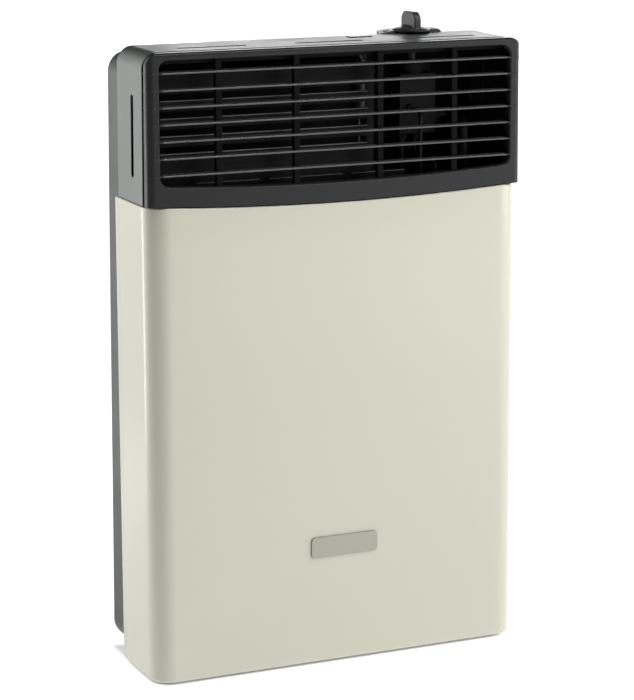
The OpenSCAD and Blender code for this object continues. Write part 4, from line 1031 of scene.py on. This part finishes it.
class BuildStudio(bpy.types.Operator):
    """Sets the pale floor, the soft lights and the camera"""

    bl_idname = "heater.studio"
    bl_label = "Studio"

    def execute(self, context):
        scene = context.scene
        scene.view_settings.view_transform = "Standard"
        world = bpy.data.worlds.new("pale_room")
        world.use_nodes = True
        background = world.node_tree.nodes["Background"].inputs
        background["Color"].default_value = (1, 1, 1, 1)
        background["Strength"].default_value = 0.0
        scene.world = world
        mesh = bpy.data.meshes.new("studio_floor")
        reach, gap = 30, 0.004
        level = FOOT - gap
        corners = [(x, y, level) for x, y in ((-reach, -reach), (reach, -reach), (reach, reach), (-reach, reach))]
        mesh.from_pydata(corners, [], [(0, 1, 2, 3)])
        floor = added("studio_floor", mesh)
        mesh.materials.append(self.floor_finish())
        for light in LIGHTS:
            self.softbox(*light)
        self.camera(scene)
        return {"FINISHED"}

    @staticmethod
    def softbox(name, bearing, distance, size, height, middle, power):
        """A tall soft light round the heater, at a bearing in degrees to the right of its front."""
        turn = math.radians(bearing)
        light = bpy.data.lights.new(name, "AREA")
        light.shape = "RECTANGLE"
        light.size, light.size_y = size, height
        light.energy = power
        obj = added(name, light)
        obj.location = (math.sin(turn) * distance, -math.cos(turn) * distance - MIDDLE_DEPTH, FOOT + middle)
        aim = at(0, MIDDLE_DEPTH, min(middle, AIM_HEIGHT))
        obj.rotation_euler = (aim - obj.location).to_track_quat("-Z", "Y").to_euler()
        obj.visible_camera = False

    @staticmethod
    def floor_finish():
        """Pale glowing floor whose rear part is lit up like a studio sweep, with painted shadows round the heater's
        foot.
        """
        made = coat("floor")
        tree = made.node_tree
        shader = tree.nodes["Principled BSDF"]
        place = wire(tree, "ShaderNodeTexCoord", out="Object")
        aside, along = (wire(tree, "ShaderNodeSeparateXYZ", {"Vector": place}, out=key) for key in "XY")
        soft = {"interpolation_type": "SMOOTHSTEP"}
        glow = maths(tree, "ADD", *[ramp(tree, along, *sweep, **soft) for sweep in SWEEPS])
        for x, half_x, y, half_y, start, end, low in DIPS:
            past = {"X": BuildStudio.past(tree, aside, x, half_x), "Y": BuildStudio.past(tree, along, y, half_y)}
            past = wire(tree, "ShaderNodeCombineXYZ", past)
            past = wire(tree, "ShaderNodeVectorMath", {0: past}, out="Value", operation="LENGTH")
            glow = maths(tree, "MULTIPLY", glow, ramp(tree, past, start, end, low, 1.0, **soft))
        tree.links.new(glow, shader.inputs["Emission Strength"])
        shader.inputs["Emission Color"].default_value = (1, 1, 1, 1)
        return made

    @staticmethod
    def past(tree, value, middle, half):
        """How far a coordinate lies past a stretch."""
        off = maths(tree, "ABSOLUTE", maths(tree, "SUBTRACT", value, middle))
        return maths(tree, "MAXIMUM", maths(tree, "SUBTRACT", off, half), 0.0)

    @staticmethod
    def camera(scene):
        """The photograph's view."""
        yaw, pitch, roll = map(math.radians, VIEW_TURNS)
        lens = bpy.data.cameras.new("photo_view")
        lens.sensor_width = SENSOR
        lens.lens = VIEW_LENS / VIEW_HEIGHT * SENSOR
        lens.clip_end = 100.0
        obj = added("photo_view", lens)
        view = Matrix.Translation(VIEW_PLACE)
        for angle, axis in ((-yaw, "Z"), (math.pi / 2 - pitch, "X"), (roll, "Z")):
            view @= Matrix.Rotation(angle, 4, axis)
        obj.matrix_world = view
        scene.camera = obj


class HeaterPanel(bpy.types.Panel):
    """Lists the heater's building steps"""

    bl_idname = "VIEW3D_PT_heater"
    bl_label = "Gas Heater"
    bl_space_type = "VIEW_3D"
    bl_region_type = "UI"
    bl_category = "Heater"

    def draw(self, context):
        for step in STEPS:
            self.layout.operator(step.bl_idname)
        for group in GROUPS:
            values = getattr(context.scene, group)
            for key in values.__annotations__:
                self.layout.prop(values, key)


GROUPS = {
    "heater_casing": CasingSizes,
    "heater_shells": ShellSizes,
    "heater_grille": GrilleSizes,
    "heater_knob": KnobSizes,
    "heater_finishes": Finishes,
}
STEPS = (
    BuildStudio, DressWorks, BuildCover, BuildShells, BuildBadge,
    BuildGrille, BuildGuard, BuildControls, BuildSprings, BuildScrews,
)


def register():
    for cls in (*GROUPS.values(), *STEPS, HeaterPanel):
        bpy.utils.register_class(cls)
    for name, group in GROUPS.items():
        setattr(bpy.types.Scene, name, PointerProperty(type=group))


def unregister():
    for name in GROUPS:
        delattr(bpy.types.Scene, name)
    for cls in reversed((*GROUPS.values(), *STEPS, HeaterPanel)):
        bpy.utils.unregister_class(cls)


def main():
    register()
    bpy.ops.heater.studio()
    bpy.ops.heater.works()
    bpy.ops.heater.cover()
    bpy.ops.heater.shells()
    bpy.ops.heater.badge()
    bpy.ops.heater.grille()
    bpy.ops.heater.guard()
    bpy.ops.heater.controls()
    bpy.ops.heater.springs()
    bpy.ops.heater.screws()


if __name__ == "__main__":
    main()
